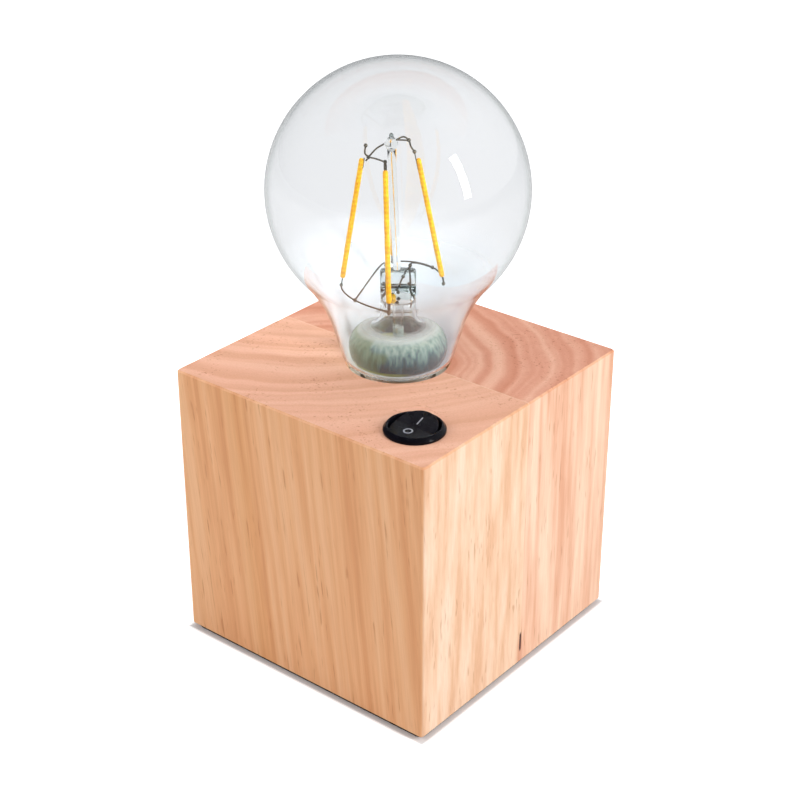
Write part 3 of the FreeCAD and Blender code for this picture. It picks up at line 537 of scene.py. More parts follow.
finishes["stem_glass"] = glass("stem_glass", (0.98, 0.985, 0.98), (0.46, 0.52, 0.50), flare_painted_reflection)
print("glass:", finishes["stem_glass"].name)

# %% [markdown]
# ## Turning
# Nearly every part of this lamp was turned, drawn or bent. Blender has a Screw modifier that turns
# an outline. We write the points ourselves instead, because it leaves clean rows of quads, and a
# thread can be put in as a small change of radius.

# %% Lathe
def lathe(profile, steps=96, closed=False, radius_at=None):
    """Points (radius, height) in mm turned about Z; radius_at may change a radius on the way."""
    verts, faces, rows = [], [], []
    for radius, height in profile:
        on_axis = radius < 1e-6
        rows.append([len(verts) + k for k in range(1 if on_axis else steps)])
        for k in range(len(rows[-1])):
            angle = 2 * math.pi * k / steps
            r = radius_at(radius, height, angle) if radius_at and not on_axis else radius
            verts.append((r * math.cos(angle), r * math.sin(angle), height))
    for low, high in list(zip(rows, rows[1:])) + ([(rows[-1], rows[0])] if closed else []):
        for k in range(steps):
            n = (k + 1) % steps
            quad = [low[k % len(low)], low[n % len(low)], high[n % len(high)], high[k % len(high)]]
            corners = list(dict.fromkeys(quad))
            if len(corners) > 2:
                faces.append(corners)
    return verts, faces


print("a plain ring has", len(lathe([(1, 0), (2, 0), (2, 1), (1, 1)], closed=True)[1]), "faces")

# %% [markdown]
# ## Outlines
# A turner grinds a small radius on every edge. A Bevel modifier could add it, but it would also
# cut the edges that should stay sharp. So each corner of an outline says its own rounding.

# %% Rounded outlines and arcs
def rounded(corners, steps=6, closed=True):
    """Outline through (radius, height, rounding) corners, each rounded with a short curve."""
    points = []
    for index, (x, y, rounding) in enumerate(corners):
        here = Vector((x, y))
        if not rounding or (not closed and index in (0, len(corners) - 1)):
            points.append((x, y))
            continue
        back = Vector(corners[index - 1][:2]) - here
        ahead = Vector(corners[(index + 1) % len(corners)][:2]) - here
        cut = rounding / math.tan(back.angle(ahead) / 2)
        first = here + back.normalized() * min(cut, 0.49 * back.length)
        last = here + ahead.normalized() * min(cut, 0.49 * ahead.length)
        for k in range(steps + 1):
            t = k / steps
            points.append(tuple(first * (1 - t) ** 2 + here * (2 * t * (1 - t)) + last * t * t))
    return points


def arc(centre, radius, start, end, steps):
    """Points round an arc, in degrees."""
    turns = [math.radians(start + (end - start) * k / steps) for k in range(steps + 1)]
    return [(centre[0] + radius * math.cos(a), centre[1] + radius * math.sin(a)) for a in turns]


bend = rounded([(0, 0, 0), (5, 0, 1), (5, 5, 0)], closed=False)
print("a rounded corner has", len(bend) - 2, "points")

# %% [markdown]
# ## Bent wire
# A wire bender sets a few bends and the wire finds a smooth line between them. We do the same: a
# few points, a smooth curve through them, and a round wire swept along it. A bevelled Blender
# curve would do it as well, but it would have to be turned into a mesh before it can be joined
# with its blobs of weld.

# %% Paths and wire
def smooth_path(points, steps=8):
    """Smooth curve that passes through all the points."""
    points = [Vector(p) for p in points]
    points = [2 * points[0] - points[1]] + points + [2 * points[-1] - points[-2]]
    path = []
    for a, b, c, d in zip(points, points[1:], points[2:], points[3:]):
        for k in range(steps):
            t = k / steps
            path.append(0.5 * (2 * b + (c - a) * t + (2 * a - 5 * b + 4 * c - d) * t ** 2
                               + (3 * b - a - 3 * c + d) * t ** 3))
    return path + [points[-2]]


def wire(path, radius, sides=10):
    """Round wire along a path, with domed ends."""
    verts, faces, rings = [], [], []
    side = (path[1] - path[0]).orthogonal().normalized()
    for index, point in enumerate(path):
        ahead = (path[min(index + 1, len(path) - 1)] - path[max(index - 1, 0)]).normalized()
        side = (side - ahead * side.dot(ahead)).normalized()
        other = ahead.cross(side)
        rings.append([len(verts) + k for k in range(sides)])
        for k in range(sides):
            angle = 2 * math.pi * k / sides
            verts.append(tuple(point + (side * math.cos(angle) + other * math.sin(angle)) * radius))
    for low, high in zip(rings, rings[1:]):
        faces += [(low[k], low[(k + 1) % sides], high[(k + 1) % sides], high[k])
                  for k in range(sides)]
    for point, inner, ring in ((path[0], path[1], rings[0]), (path[-1], path[-2], rings[-1])):
        verts.append(tuple(point + (point - inner).normalized() * radius * 0.6))
        faces += [(ring[k], ring[(k + 1) % sides], len(verts) - 1) for k in range(sides)]
    return verts, faces


print("a wire with one bend has", len(smooth_path([(0, 0, 0), (0, 0, 5), (3, 0, 8)])), "rings")

# %% [markdown]
# ## Lofting
# What isn't round, such as the flat pinch of the stem or a screw's cross, is a skin over a stack
# of rings. Subdivision surfaces could round a rough block into these, but a loft hits each size
# exactly, and that matters where the parts have to fit the frame.

# %% Rings and lofts
def squashed_ring(half_x, half_y, height, power, steps=64):
    """Ring that is a circle at power 2 and nearer to a rectangle at a higher one."""
    ring = []
    for k in range(steps):
        c, s = math.cos(2 * math.pi * k / steps), math.sin(2 * math.pi * k / steps)
        ring.append((half_x * math.copysign(abs(c) ** (2 / power), c),
                     half_y * math.copysign(abs(s) ** (2 / power), s), height))
    return ring


def loft(rings, closed_ends=True):
    """Skin over rings that have the same count of points."""
    steps = len(rings[0])
    verts = [v for ring in rings for v in ring]
    faces = []
    for row in range(len(rings) - 1):
        low, high = row * steps, (row + 1) * steps
        for k in range(steps):
            n = (k + 1) % steps
            faces.append((low + k, low + n, high + n, high + k))
    if closed_ends:
        faces += [tuple(row * steps + k for k in range(steps)) for row in (0, len(rings) - 1)]
    return verts, faces


def moved(shape, matrix):
    return [tuple(matrix @ Vector(v)) for v in shape[0]], shape[1]


def joined(*shapes):
    """Several (verts, faces) as one."""
    verts, faces = [], []
    for shape_verts, shape_faces in shapes:
        faces += [tuple(i + len(verts) for i in face) for face in shape_faces]
        verts += shape_verts
    return verts, faces


print("a ring has", len(squashed_ring(6.5, 6.5, 0.0, 2)), "points")

# %% [markdown]
# ## Placing a piece
# One function keeps that from being forgotten.

# %% Placing a piece
def piece(name, shape, slot, body, stands_for, sharp=35.0, material=None):
    """Object from a shape in mm, riding on a body in place of its CAD nodes."""
    mesh = bpy.data.meshes.new(name)
    mesh.from_pydata([Vector(v) * MM for v in shape[0]], [], shape[1])
    work = bmesh.new()
    work.from_mesh(mesh)
    bmesh.ops.recalc_face_normals(work, faces=work.faces)
    work.to_mesh(mesh)
    work.free()
    mesh.polygons.foreach_set("use_smooth", [True] * len(mesh.polygons))
    mesh.set_sharp_from_angle(angle=math.radians(sharp))
    mesh.materials.append(material or finishes[slot])
    made = bpy.data.objects.new(name, mesh)
    bpy.context.scene.collection.objects.link(made)
    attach(made, body)
    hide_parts(*stands_for)
    print(name, "faces", len(mesh.polygons))
    return made


# %% [markdown]
# ## The globe
# The bulb is blown into a mould: a round globe, a hollow curve into a tapered neck, a shoulder
# turned in at its foot and a short skirt inside the cap. A UV sphere with a pulled neck would give
# uneven rows. One outline, walked up outside and down inside, gives both walls at an even distance.
# The hollow curve is an arc that has to touch both the taper and the globe, and the quadratic
# below finds how far up the taper it starts: the nearer of its two answers is the neck's.

# %% Globe
GLOBE_RADIUS, GLOBE_CENTRE, GLASS_WALL = 46.8, 65.9, 0.9
TAPER, HOLLOW, SHOULDER = math.radians(15.5), 50.0, 6.5


def globe_wall(shift):
    """Outline of the glass from the skirt's foot to the crown, moved inward by the shift."""
    up = Vector((math.sin(TAPER), math.cos(TAPER)))
    out = Vector((math.cos(TAPER), -math.sin(TAPER)))
    crown = Vector((0.0, TOP + GLOBE_CENTRE))
    start = Vector((19.8 + math.tan(TAPER) * 4.0, TOP + 4.0))
    turn = start - out * SHOULDER
    gap = start + out * HOLLOW - crown
    b = gap.dot(up)
    rest = gap.length_squared - (GLOBE_RADIUS + HOLLOW) ** 2
    travel = -b - math.sqrt(b * b - rest)
    centre = start + out * HOLLOW + up * travel
    join = math.degrees(math.atan2(centre.y - crown.y, centre.x - crown.x))
    foot = turn.y - SHOULDER + shift
    points = rounded([(12.55 - shift, TOP - 9.0, 0), (12.55 - shift, foot, 0.9), (turn.x, foot, 0)],
                     closed=False)
    points += arc(turn, SHOULDER - shift, -89, -15.5, 16)
    low = start - out * shift
    points += [tuple(low + up * travel * k / 6) for k in range(1, 6)]
    points += arc(centre, HOLLOW + shift, 164.5, 180 + join, 20)
    points += arc(crown, GLOBE_RADIUS - shift, join, 89, 60)[1:]
    return points + [(0.0, crown.y + GLOBE_RADIUS - shift)]


walls = lathe(globe_wall(0.0) + globe_wall(GLASS_WALL)[::-1], steps=144, closed=True)
globe = piece("globe", walls, "globe_glass", "bulb", ["bulb_glass"], sharp=60.0)
print("globe's crown at", round(max(v.co.z for v in globe.data.vertices), 4), "m")

# %% [markdown]
# ## The stem's flare
# Inside the neck sits a flared glass tube, pinched flat at its top round the two leads. The flare,
# the tube and the pinch are one loft of rings that go from round to flat. Three solids joined by a
# boolean would leave a hidden wall between them, and in clear glass a hidden wall is seen.

# %% Stem: flare, tube and pinch
STEM_TURN = math.radians(39.0)
TUBE, PINCH = 6.5, 2.3


def flare(shift):
    """(radius, height) from the flare's rim up to the tube."""
    centre = Vector((9.2, TOP + 6.2))
    radius, fillet = 9.0 - shift, 6.0 + shift
    start = math.degrees(math.asin((TOP + 0.6 - centre.y) / radius))
    rise = math.sqrt(15.0 ** 2 - (12.5 - centre.x) ** 2)
    join = math.degrees(math.atan2(rise, 12.5 - centre.x))
    return (arc(centre, radius, start, join, 26)
            + arc((12.5, centre.y + rise), fillet, 180 + join, 180, 14)[1:])


outside = [squashed_ring(r, r, h, 2) for r, h in flare(0.0)]
outside += [squashed_ring(TUBE, TUBE, TOP + h, 2) for h in (22.0, 23.5, 25.0)]
for k in range(1, 9):
    ease = 0.5 - 0.5 * math.cos(math.pi * k / 8)
    outside.append(squashed_ring(TUBE, TUBE - 4.2 * ease, TOP + 25.0 + 5.0 * k / 8, 2 + 1.6 * ease))
for inset, height in ((0.0, 35.2), (0.25, 35.7), (0.8, 36.0)):
    outside.append(squashed_ring(TUBE - inset, PINCH - inset, TOP + height, 3.6))
inside = [squashed_ring(r, r, h, 2) for r, h in flare(GLASS_WALL)]
inside += [squashed_ring(r, r, TOP + h, 2)
           for r, h in ((5.6, 22.5), (5.3, 23.6), (4.4, 24.1), (2.2, 24.3))]
flared_tube = loft(inside[::-1] + outside)
print("stem loft:", len(inside) + len(outside), "rings")

# %% [markdown]
# ## The stem's tube, rod and bead
# The thin exhaust tube hangs down inside the flare: the air was drawn out of the bulb through it.
# A glass rod with a bead grows out of the pinch and holds the filaments' upper wires. In the trade
# all of this is melted together, so here the shapes are joined into one piece of glass, and turned
# together to the angle at which the filaments stand.

# %% Stem: exhaust tube, rod and bead
exhaust = lathe(rounded([(1.2, TOP - 3.0, 0.2), (2.0, TOP - 3.0, 0.2), (2.0, TOP + 24.0, 0),
                         (1.2, TOP + 24.0, 0)]), steps=32, closed=True)
rod_foot, rod_head = Vector((-0.4, 0.0, TOP + 35.9)), Vector((-2.3, 0.0, TOP + 81.2))
rod = wire([rod_foot.lerp(rod_head, k / 12) for k in range(13)], 1.45, sides=28)
bead = lathe([(radius, TOP + height) for radius, height in
              ((0.0, 80.3), (1.0, 80.5), (1.7, 81.4), (2.3, 82.7), (2.25, 83.6), (1.5, 84.8),
               (0.85, 85.5), (0.75, 86.4), (0.45, 86.9), (0.0, 87.0))], steps=32)
bead = moved(bead, Matrix.Translation((-2.3, 0.0, 0.0)))
turned = Matrix.Rotation(STEM_TURN, 4, "Z")
piece("stem", moved(joined(flared_tube, exhaust, rod, bead), turned), "stem_glass", "bulb",
      ["glass_stem"], sharp=60.0)

# %% [markdown]
# ## The filaments' coat
# Each filament is a strip of tiny lights under a yellow coat, and the lights show through it as
# faint bars. A sine of the height gives the bars, and a little noise keeps the coat from looking
# printed. It doesn't glow here, because the lamp in the photograph is off.

# %% Coat finish
BAR = 1.7 * MM


def coat_material():
    """Yellow coat with faint darker bars where the lights sit under it."""
    material, tree, shader, spot = start_material("filament_coat")
    bars = maths(tree, "SINE", times(tree, axes(tree, spot)["Z"], 2 * math.pi / BAR))
    coarse = unevenness(tree, spot, coarse=400.0)["Coarse"]
    tone = plus(tree, times(tree, bars, 0.10), coarse)
    colour = ramp(tree, tone, [(0.3, rgb(236, 158, 0)), (0.5, rgb(250, 184, 4)),
                               (0.75, rgb(255, 208, 40))])
    tree.links.new(colour, shader.inputs["Base Color"])
    bump(tree, shader, coarse, 0.5, 0.15)
    shader.inputs["Roughness"].default_value = 0.5
    shader.inputs["Specular IOR Level"].default_value = 0.2
    return material


finishes["filament_coating"] = coat_material()
print("coat:", finishes["filament_coating"].name)

# %% [markdown]
# ## Filaments
# The coat is dipped, so its ends are domed and it swells a little here and there. A plain cylinder
# would look cut off, so each coat is turned with domed ends. Its tabs are thin strips of metal,
# lofted from a few flat rings.

# %% Filament shapes
FILAMENT_TOP, FILAMENT_FOOT, COAT_RADIUS = 77.5, 33.0, 0.93
FILAMENTS = {
    "left": ((-12.6, 0.0), (-20.0, -0.5)),
    "front": ((-4.3, -12.0), (-3.2, -22.0)),
    "right": ((7.0, 0.0), (15.8, 0.5)),
    "back": ((-1.5, 12.0), (-2.0, 20.0)),
}


def ends_of(name):
    """Top and foot of a filament, in mm."""
    top, foot = FILAMENTS[name]
    return Vector((*top, TOP + FILAMENT_TOP)), Vector((*foot, TOP + FILAMENT_FOOT))


def coat_shape(length):
    """Coat of a length, standing on the origin."""
    outline = [(0.0, -0.35), (0.45, -0.28), (0.8, 0.0), (COAT_RADIUS, 0.5)]
    outline += [(COAT_RADIUS + 0.03 * math.sin(2.1 * k), 0.5 + (length - 1.0) * k / 16)
                for k in range(1, 16)]
    outline += [(COAT_RADIUS, length - 0.5), (0.8, length), (0.45, length + 0.28),
                (0.0, length + 0.35)]
    return lathe(outline, steps=24)


def tab_shape(start, end, aside):
    """Flat strip between two heights, a little narrower at its ends."""
    rings = []
    for k in range(5):
        half, height = 0.42 if k in (0, 4) else 0.55, start + (end - start) * k / 4
        rings.append([(aside.x + x, aside.y + y, height) for x, y in
                      ((half, 0.17), (-half, 0.17), (-half, -0.17), (half, -0.17))])
    return loft(rings)


for name in FILAMENTS:
    high, low = ends_of(name)
    print("filament", name, "is", round((high - low).length, 1), "mm long")

# %% [markdown]
# ## Filaments in place
# The four filaments lean together like the poles of a tent. Each coat is made upright on the
# origin and then laid along its own line. A metal tab sticks out at each end for the weld. On two
# of the filaments the upper tab lies beside the coat, where it meets the bent wire. The tabs are
# pieces of their own, since they are metal, and the coat isn't.

# %% Filaments
TABS_BESIDE = {"left": (-3.2, 0.5), "right": (-3.6, 2.9)}
for name in FILAMENTS:
    high, low = ends_of(name)
    length = (high - low).length
    aim = (high - low).to_track_quat("Z", "Y")
    place = turned @ Matrix.Translation(low) @ aim.to_matrix().to_4x4()
    piece("filament_coat_" + name, moved(coat_shape(length), place), "filament_coating", "bulb",
          ["filament_" + name])
    aside = Vector((0.0, 0.0, 0.0))
    tabs = [tab_shape(-3.0, 0.4, aside)]
    if name in TABS_BESIDE:
        aside = aim.inverted() @ Vector((-high.x, -high.y, 0.0)).normalized() * 0.8
    start, end = TABS_BESIDE.get(name, (-0.4, 3.0))
    tabs.append(tab_shape(length + start, length + end, aside))
    piece("filament_tabs_" + name, moved(joined(*tabs), place), "support_wire", "bulb", [],
          sharp=20.0)

# %% [markdown]
# ## The upper wires
# The wires are bent by hand over a jig, so they are soft curves with small kinks at the welds. A
# little blob of melted metal marks each weld, as on the real lamp. On the left one bare end sticks
# up past its weld. Perfectly straight wires between the same points would look like a drawing.

# %% Upper wires
WIRE_RADIUS, WELD_RADIUS, TAB_REACH = 0.3, 0.75, 3.15


def tab_tip(name, upper):
    """Where a wire meets a filament's tab."""
    high, low = ends_of(name)
    ahead = (high - low).normalized()
    return high + ahead * TAB_REACH if upper else low - ahead * TAB_REACH


def blob(centre):
    """Melted drop of metal."""
    ball = lathe([(0.0, -1.0), (0.6, -0.8), (1.0, 0.0), (0.6, 0.8), (0.0, 1.0)], steps=10)
    return moved(ball, Matrix.Translation(centre) @ Matrix.Scale(WELD_RADIUS, 4))


def wires(name, paths, blobs, node):
    """Piece of several wires and their welds."""
    shapes = [wire(smooth_path(path), WIRE_RADIUS) for path in paths] + [blob(b) for b in blobs]
    piece(name, moved(joined(*shapes), turned), "support_wire", "bulb", [node])


left, front = tab_tip("left", True), tab_tip("front", True)
vertex = left + Vector((1.8, -0.3, -2.3))
spike = vertex + Vector((-0.9, 0.2, 4.2))
wires("wires_upper_left",
      [[(-4.9, 0.0, TOP + 83.0), (-7.6, -0.2, TOP + 81.3), vertex],
       [vertex, vertex.lerp(front, 0.5) + Vector((-0.4, 0.0, 0.3)), front],
       [vertex + Vector((-0.9, 0.2, -1.4)), vertex, vertex + Vector((-1.2, 0.2, 1.4)), spike]],
      [vertex, spike, front], "upper_wire_left")
right, back = tab_tip("right", True), tab_tip("back", True)
crook, landing = (3.7, 0.0, TOP + 84.4), right + Vector((-0.7, 0.0, -0.4))
wires("wires_upper_right",
      [[(-0.8, 0.0, TOP + 84.4), (1.8, 0.0, TOP + 85.6), crook, (4.4, 0.0, TOP + 82.2), landing],
       [crook, right + Vector((-3.4, 4.5, 2.2)), back]],
      [crook, landing, back], "upper_wire_right")

# %% [markdown]
# ## The lower wires
# Below, two filaments share one bowed wire, and a lead comes up through the pinch to its middle.
# The bow is an arc through its three welds. Stubs and blobs in the pinch are where the leads were
# joined before the glass was pressed round them; they are the small dark spots in the clear glass.

# %% Lower wires
def bow(first, middle, last, steps=4):
    """Points of the arc through three points."""
    a, b = first - middle, last - middle
    cross = a.cross(b)
    centre = middle + (a.length_squared * b.cross(cross) + b.length_squared * cross.cross(a)) / (
        2 * cross.length_squared)
    points = []
    for start, end in ((first, middle), (middle, last)):
        for k in range(steps):
            along = start.lerp(end, k / steps) - centre
            points.append(centre + along.normalized() * (middle - centre).length)
    return points + [last]


def over_top(*points):
    """Points whose heights are given over the wooden top."""
    return [(x, y, TOP + height) for x, y, height in points]


LEAD_X = 4.3
WELDS = {"left": over_top((-5.0, -0.6, 30.6), (-3.5, 0.3, 31.6), (-3.3, -0.4, 26.6)),
         "right": over_top((1.8, -0.5, 33.4), (3.9, 0.4, 30.2), (-0.4, 0.0, 27.6),
                           (0.1, 0.3, 25.9))}
STUBS = {"left": over_top((-5.0, -0.6, 30.6), (-4.0, 0.0, 29.0), (-3.3, -0.4, 26.6)),
         "right": over_top((-0.4, 0.0, 27.6), (1.8, -0.5, 33.4), (4.2, -0.4, 37.2))}
for side, sign, partner, middle_at, drop in (("left", -1, "front", (-15.2, -15.4), 0.9),
                                             ("right", 1, "back", (12.6, 13.4), 0.8)):
    first, last = tab_tip(side, False), tab_tip(partner, False)
    middle = Vector((*middle_at, first.z + drop))
    knee = Vector((sign * LEAD_X, 0.0, TOP + 37.4))
    lead = over_top((sign * LEAD_X, 0.0, 21.0), (sign * LEAD_X, 0.0, 30.0))
    lead += [knee, knee + Vector((sign * 2.4, middle.y * 0.12, 0.2)), middle]
    wires("wires_lower_" + side, [bow(first, middle, last), lead, STUBS[side]],
          [first, last, middle, knee, *WELDS[side]], "lower_wire_" + side)

# %% [markdown]
# ## The screw cap and its shell
# A lamp cap's thread is rolled into thin brass or aluminium, so its crests are round and it shows
# inside as well as outside. A helix swept round a cylinder would leave a hard edge. We turn a plain
# sleeve and let its radius follow a wave that climbs one pitch in each turn. The cap and the shell
# use the same wave, so they stay in step while the bulb is screwed out.

# %% Threads
THREAD_PITCH, THREAD_DEPTH = 3.629, 0.45
CAP_THREAD, SHELL_THREAD = (91.2, 102.4), (82.0, 101.6)


def thread_wave(low, high):
    """Change of radius for a rolled right-hand thread between two levels."""
    def radius_at(radius, height, angle):
        fade = min(1.0, max(0.0, (height - low) / 1.5), max(0.0, (high - height) / 1.5))
        wave = math.cos(2 * math.pi * height / THREAD_PITCH - angle)
        return radius + fade * THREAD_DEPTH * (wave - 1.0)
    return radius_at


def sleeve(levels, wall):
    """Closed outline of a thin sleeve: up outside, down inside."""
    return levels + [(r - wall, h) for r, h in levels[::-1]]


cap_levels = [(11.6, 89.0), (12.3, 90.2), (12.9, 91.4)]
cap_levels += [(13.0, 91.8 + 0.3 * k) for k in range(41)]
cap_levels += [(13.0, 104.6), (13.0, 108.9), (12.9, 109.6), (12.95, 110.0)]
piece("screw_cap", lathe(sleeve(cap_levels, 0.3), 96, True, thread_wave(*CAP_THREAD)),
      "cap_metal", "bulb", ["cap_shell"])
shell_levels = [(13.7, 79.7)] + [(13.7, 80.4 + 0.3 * k) for k in range(72)]
shell_levels += [(13.7, 102.3), (13.72, 102.7)]
shell_section = sleeve(shell_levels, 0.4)[:-1] + [(13.3, 80.1), (9.1, 80.1), (9.1, 79.7)]
piece("screw_shell", lathe(shell_section, 96, True, thread_wave(*SHELL_THREAD)),
      "brass", "base", ["holder_screw_shell"])
print("one turn lifts the bulb", THREAD_PITCH, "mm")

# %% [markdown]
# ## The switch's finish
# The switch is glossy black plastic, a little hazy from handling. Black that is too black looks
# like a hole, so it keeps a faint gloss: the low specular level stands for a moulding that isn't
# polished, and the two dark tones keep it from being one flat colour.

# %% Switch plastic
def plastic(name):
    """Glossy black plastic with a faint haze of handling marks."""
    material, tree, shader, spot = start_material(name)
    out = unevenness(tree, spot, coarse=300.0)
    colour = ramp(tree, out["Coarse"], [(0.3, rgb(9, 8, 13)), (0.7, rgb(17, 16, 23))])
    colour = blend(tree, times(tree, out["Scratches"], 0.03), colour, rgb(150, 150, 156))
    tree.links.new(colour, shader.inputs["Base Color"])
    tree.links.new(run(tree, out["Coarse"], 0.3, 0.7, 0.08, 0.15), shader.inputs["Roughness"])
    shader.inputs["Specular IOR Level"].default_value = 0.09
    bump(tree, shader, out["Fine"], 0.3, 0.02)
    return material


finishes["switch_black"] = plastic("switch_black")
print("switch finish:", finishes["switch_black"].name)

# %% [markdown]
# ## The bezel
# The bezel is a round collar that rests on the wood, slopes up and turns in round the rocker. Its
# moulding is softened at every edge, because real plastic can't fill a sharp corner, and those
# soft edges are what catches the light on a black part. It is one turned outline with its cup.

# %% Bezel
SWITCH = (38.5, -38.5)
at_switch = Matrix.Translation((*SWITCH, 0.0))
bezel = lathe(rounded([(0.0, 97.5, 0), (9.85, 97.5, 0.4), (9.85, TOP, 0), (10.95, TOP, 0.2),
                       (10.95, TOP + 0.9, 0.4), (9.8, TOP + 2.2, 0.45), (9.15, TOP + 2.2, 0.25),
                       (9.15, 99.0, 0.4), (0.0, 99.0, 0)], closed=False), steps=128)
piece("switch_bezel", moved(bezel, at_switch), "switch_black", "base", ["switch_housing"])

# %% [markdown]
# ## The rocker
# The rocker is a round button whose two halves slope to a shallow V. Its O end is pressed in here,
# so the I end stands up behind. A cylinder cut with two planes would have a knife-sharp valley, so
# the top is a height written as a function of the place: two slopes, a soft valley and a rounded
# rim. The rows are closer together near the rim and the valley, where the shape changes most.

# %% Rocker
PIVOT, ROCKER_REST = 111.7, math.radians(10.0)
ROCKER_RADIUS, ROCKER_EDGE, SLOPE = 8.4, 0.55, math.tan(math.radians(10.0))


def rocker_height(x, y):
    """Level of the rocker's top over its pivot, before it is tilted."""
    valley = math.sqrt(y * y + 0.35 ** 2) - 0.35
    inward = ROCKER_RADIUS - math.hypot(x, y)
    drop = 0.0
    if inward < ROCKER_EDGE:
        drop = ROCKER_EDGE - math.sqrt(max(0.0, ROCKER_EDGE ** 2 - (ROCKER_EDGE - inward) ** 2))
    return 2.1 + SLOPE * valley - drop


def rocker_shape():
    """Button, the tongue under it and the pins it turns on."""
    rows = sorted({round(ROCKER_RADIUS * math.sin(math.pi / 2 * k / 24), 4) for k in range(-24, 25)}
                  | {-0.45, -0.3, -0.15, 0.15, 0.3, 0.45})
    across = [math.sin(math.pi / 2 * k / 20) for k in range(-20, 21)]
    rings = []
    for y in rows[1:-1]:
        half = math.sqrt(ROCKER_RADIUS ** 2 - y * y)
        ring = [(half * u, y, rocker_height(half * u, y)) for u in across]
        rings.append(ring + [(half * u, y, -2.2) for u in across[::-1]])
    tongue = lathe(rounded([(1.2, 0.0, 0), (1.2, -6.4, 0), (2.4, -6.4, 0.3), (2.4, -2.0, 0)],
                           closed=False), steps=32)
    pins = lathe([(0.0, -9.75), (1.2, -9.75), (1.2, 9.75), (0.0, 9.75)], steps=24)
    return joined(loft(rings), tongue, moved(pins, Matrix.Rotation(math.pi / 2, 4, "Y")))


tilt = at_switch @ Matrix.Translation((0, 0, PIVOT)) @ Matrix.Rotation(ROCKER_REST, 4, "X")
piece("rocker", moved(rocker_shape(), tilt), "switch_black", "rocker", ["switch_rocker"])

# %% [markdown]
# ## O and I
# The two marks are printed on the rocker in pale ink. A mask in the material would need hundreds
# of pixels to look sharp, while a thin raised print follows the rocker's slope exactly and has a
# clean edge from any distance. It rides with the rocker.

# %% Marks on the rocker
SUNK, RAISED = -0.05, 0.04


def mark(outline_out, outline_in):
    """Thin raised print between two outlines of (x, y) on the rocker."""
    rings = [[(x, y, rocker_height(x, y) + lift) for x, y in outline] for outline, lift in
             ((outline_in, SUNK), (outline_in, RAISED), (outline_out, RAISED), (outline_out, SUNK))]
    return loft(rings + [rings[0]], closed_ends=False)


def circle(radius, y):
    return [(radius * math.cos(2 * math.pi * k / 40), radius * math.sin(2 * math.pi * k / 40) + y)
            for k in range(40)]


bar = rounded([(-0.24, 1.6, 0.15), (0.24, 1.6, 0.15), (0.24, 5.0, 0.15), (-0.24, 5.0, 0.15)], 3)
bar_rings = [[(x, y, rocker_height(x, y) + lift) for x, y in bar] for lift in (SUNK, RAISED)]
signs = {"sign_o": mark(circle(1.7, -3.2), circle(1.2, -3.2)), "sign_i": loft(bar_rings)}
finishes["sign_white"] = finish("sign_white", rgb(132, 132, 140), rgb(170, 170, 178), 0.5,
                                fine=3000, coarse=900)
for name, sign in signs.items():
    piece(name, moved(sign, tilt), "switch_black", "rocker", [], material=finishes["sign_white"])

# %% [markdown]
# ## The grommet
# A rubber bush lines the hole in the back face, so that a lead can't chafe on the wood. It is
# turned about the hole's own axis, with soft lips, and then laid on its side.

# %% Grommet
bush = lathe(rounded([(3.3, 42.2, 0.5), (6.4, 42.2, 0.6), (6.4, 44.0, 0.3), (5.1, 44.0, 0),
                      (5.1, 55.7, 0), (7.4, 55.7, 0.2), (7.4, 57.5, 0.9), (3.3, 57.5, 0.7)]),
             steps=64, closed=True)
along_y = Matrix.Translation((0, 0, 12.4)) @ Matrix.Rotation(-math.pi / 2, 4, "X")
piece("cable_bush", moved(bush, along_y), "grommet_rubber", "base", ["cable_grommet"])

# %% [markdown]
# ## Screws
# A wood screw has a recess pressed into its head and a thread rolled on its shank. A boolean cut
# would leave long thin triangles round the cross, so the cross is simply the innermost of the rings
# that the head is lofted from, and every ring has its points at the cross's own angles.

# %% Screws
def cross_ring(width, reach, steps=3):
    """Outline of a cross, with each side cut into equal steps."""
    corners = []
    for k in range(4):
        c, s = round(math.cos(math.pi / 2 * k)), round(math.sin(math.pi / 2 * k))
        corners += [(c * x - s * y, s * x + c * y)
                    for x, y in ((reach, -width / 2), (reach, width / 2), (width / 2, width / 2))]
    ring = []
    for a, b in zip(corners, corners[1:] + corners[:1]):
        ring += [(a[0] + (b[0] - a[0]) * k / steps, a[1] + (b[1] - a[1]) * k / steps)
                 for k in range(steps)]
    return ring


def screw(head, head_height, shank, length, pitch=1.4, recess=0.9):
    """Screw that points down, with the top of its head at zero."""
    cross = cross_ring(0.28 * head, 0.62 * head)
    angles = [math.atan2(y, x) for x, y in cross]
    rings = [[(0.7 * x, 0.7 * y, -recess) for x, y in cross], [(x, y, 0.0) for x, y in cross]]
    for share, height in ((0.8, -0.06), (0.92, -0.22), (1.0, -0.55), (1.0, -head_height)):
        rings.append([(share * head * math.cos(a), share * head * math.sin(a), height)
                      for a in angles])
    rows = int(6 * length / pitch)
    for k in range(rows + 1):
        depth = -head_height - length * k / rows
        taper = min(1.0, (rows - k) / 12 + 0.12)
        ring = []
        for a in angles:
            wave = 0.5 - 0.5 * math.cos(2 * math.pi * depth / pitch - a)
            cut = 0.28 * wave if k > rows * 0.25 else 0.0
            r = (shank - cut) * taper
            ring.append((r * math.cos(a), r * math.sin(a), depth))
        rings.append(ring)
    return loft(rings)


print("a small screw has", len(screw(2.7, 1.4, 1.4, 10.6)[1]), "faces")

# %% [markdown]
# ## Screws in place
# Four short screws hold the cover from below, so they point up, and two long ones hold the lamp
# holder to the wood from above. An array modifier could repeat them, but a list of places is
# shorter and the screws end up as one piece per node of the frame.

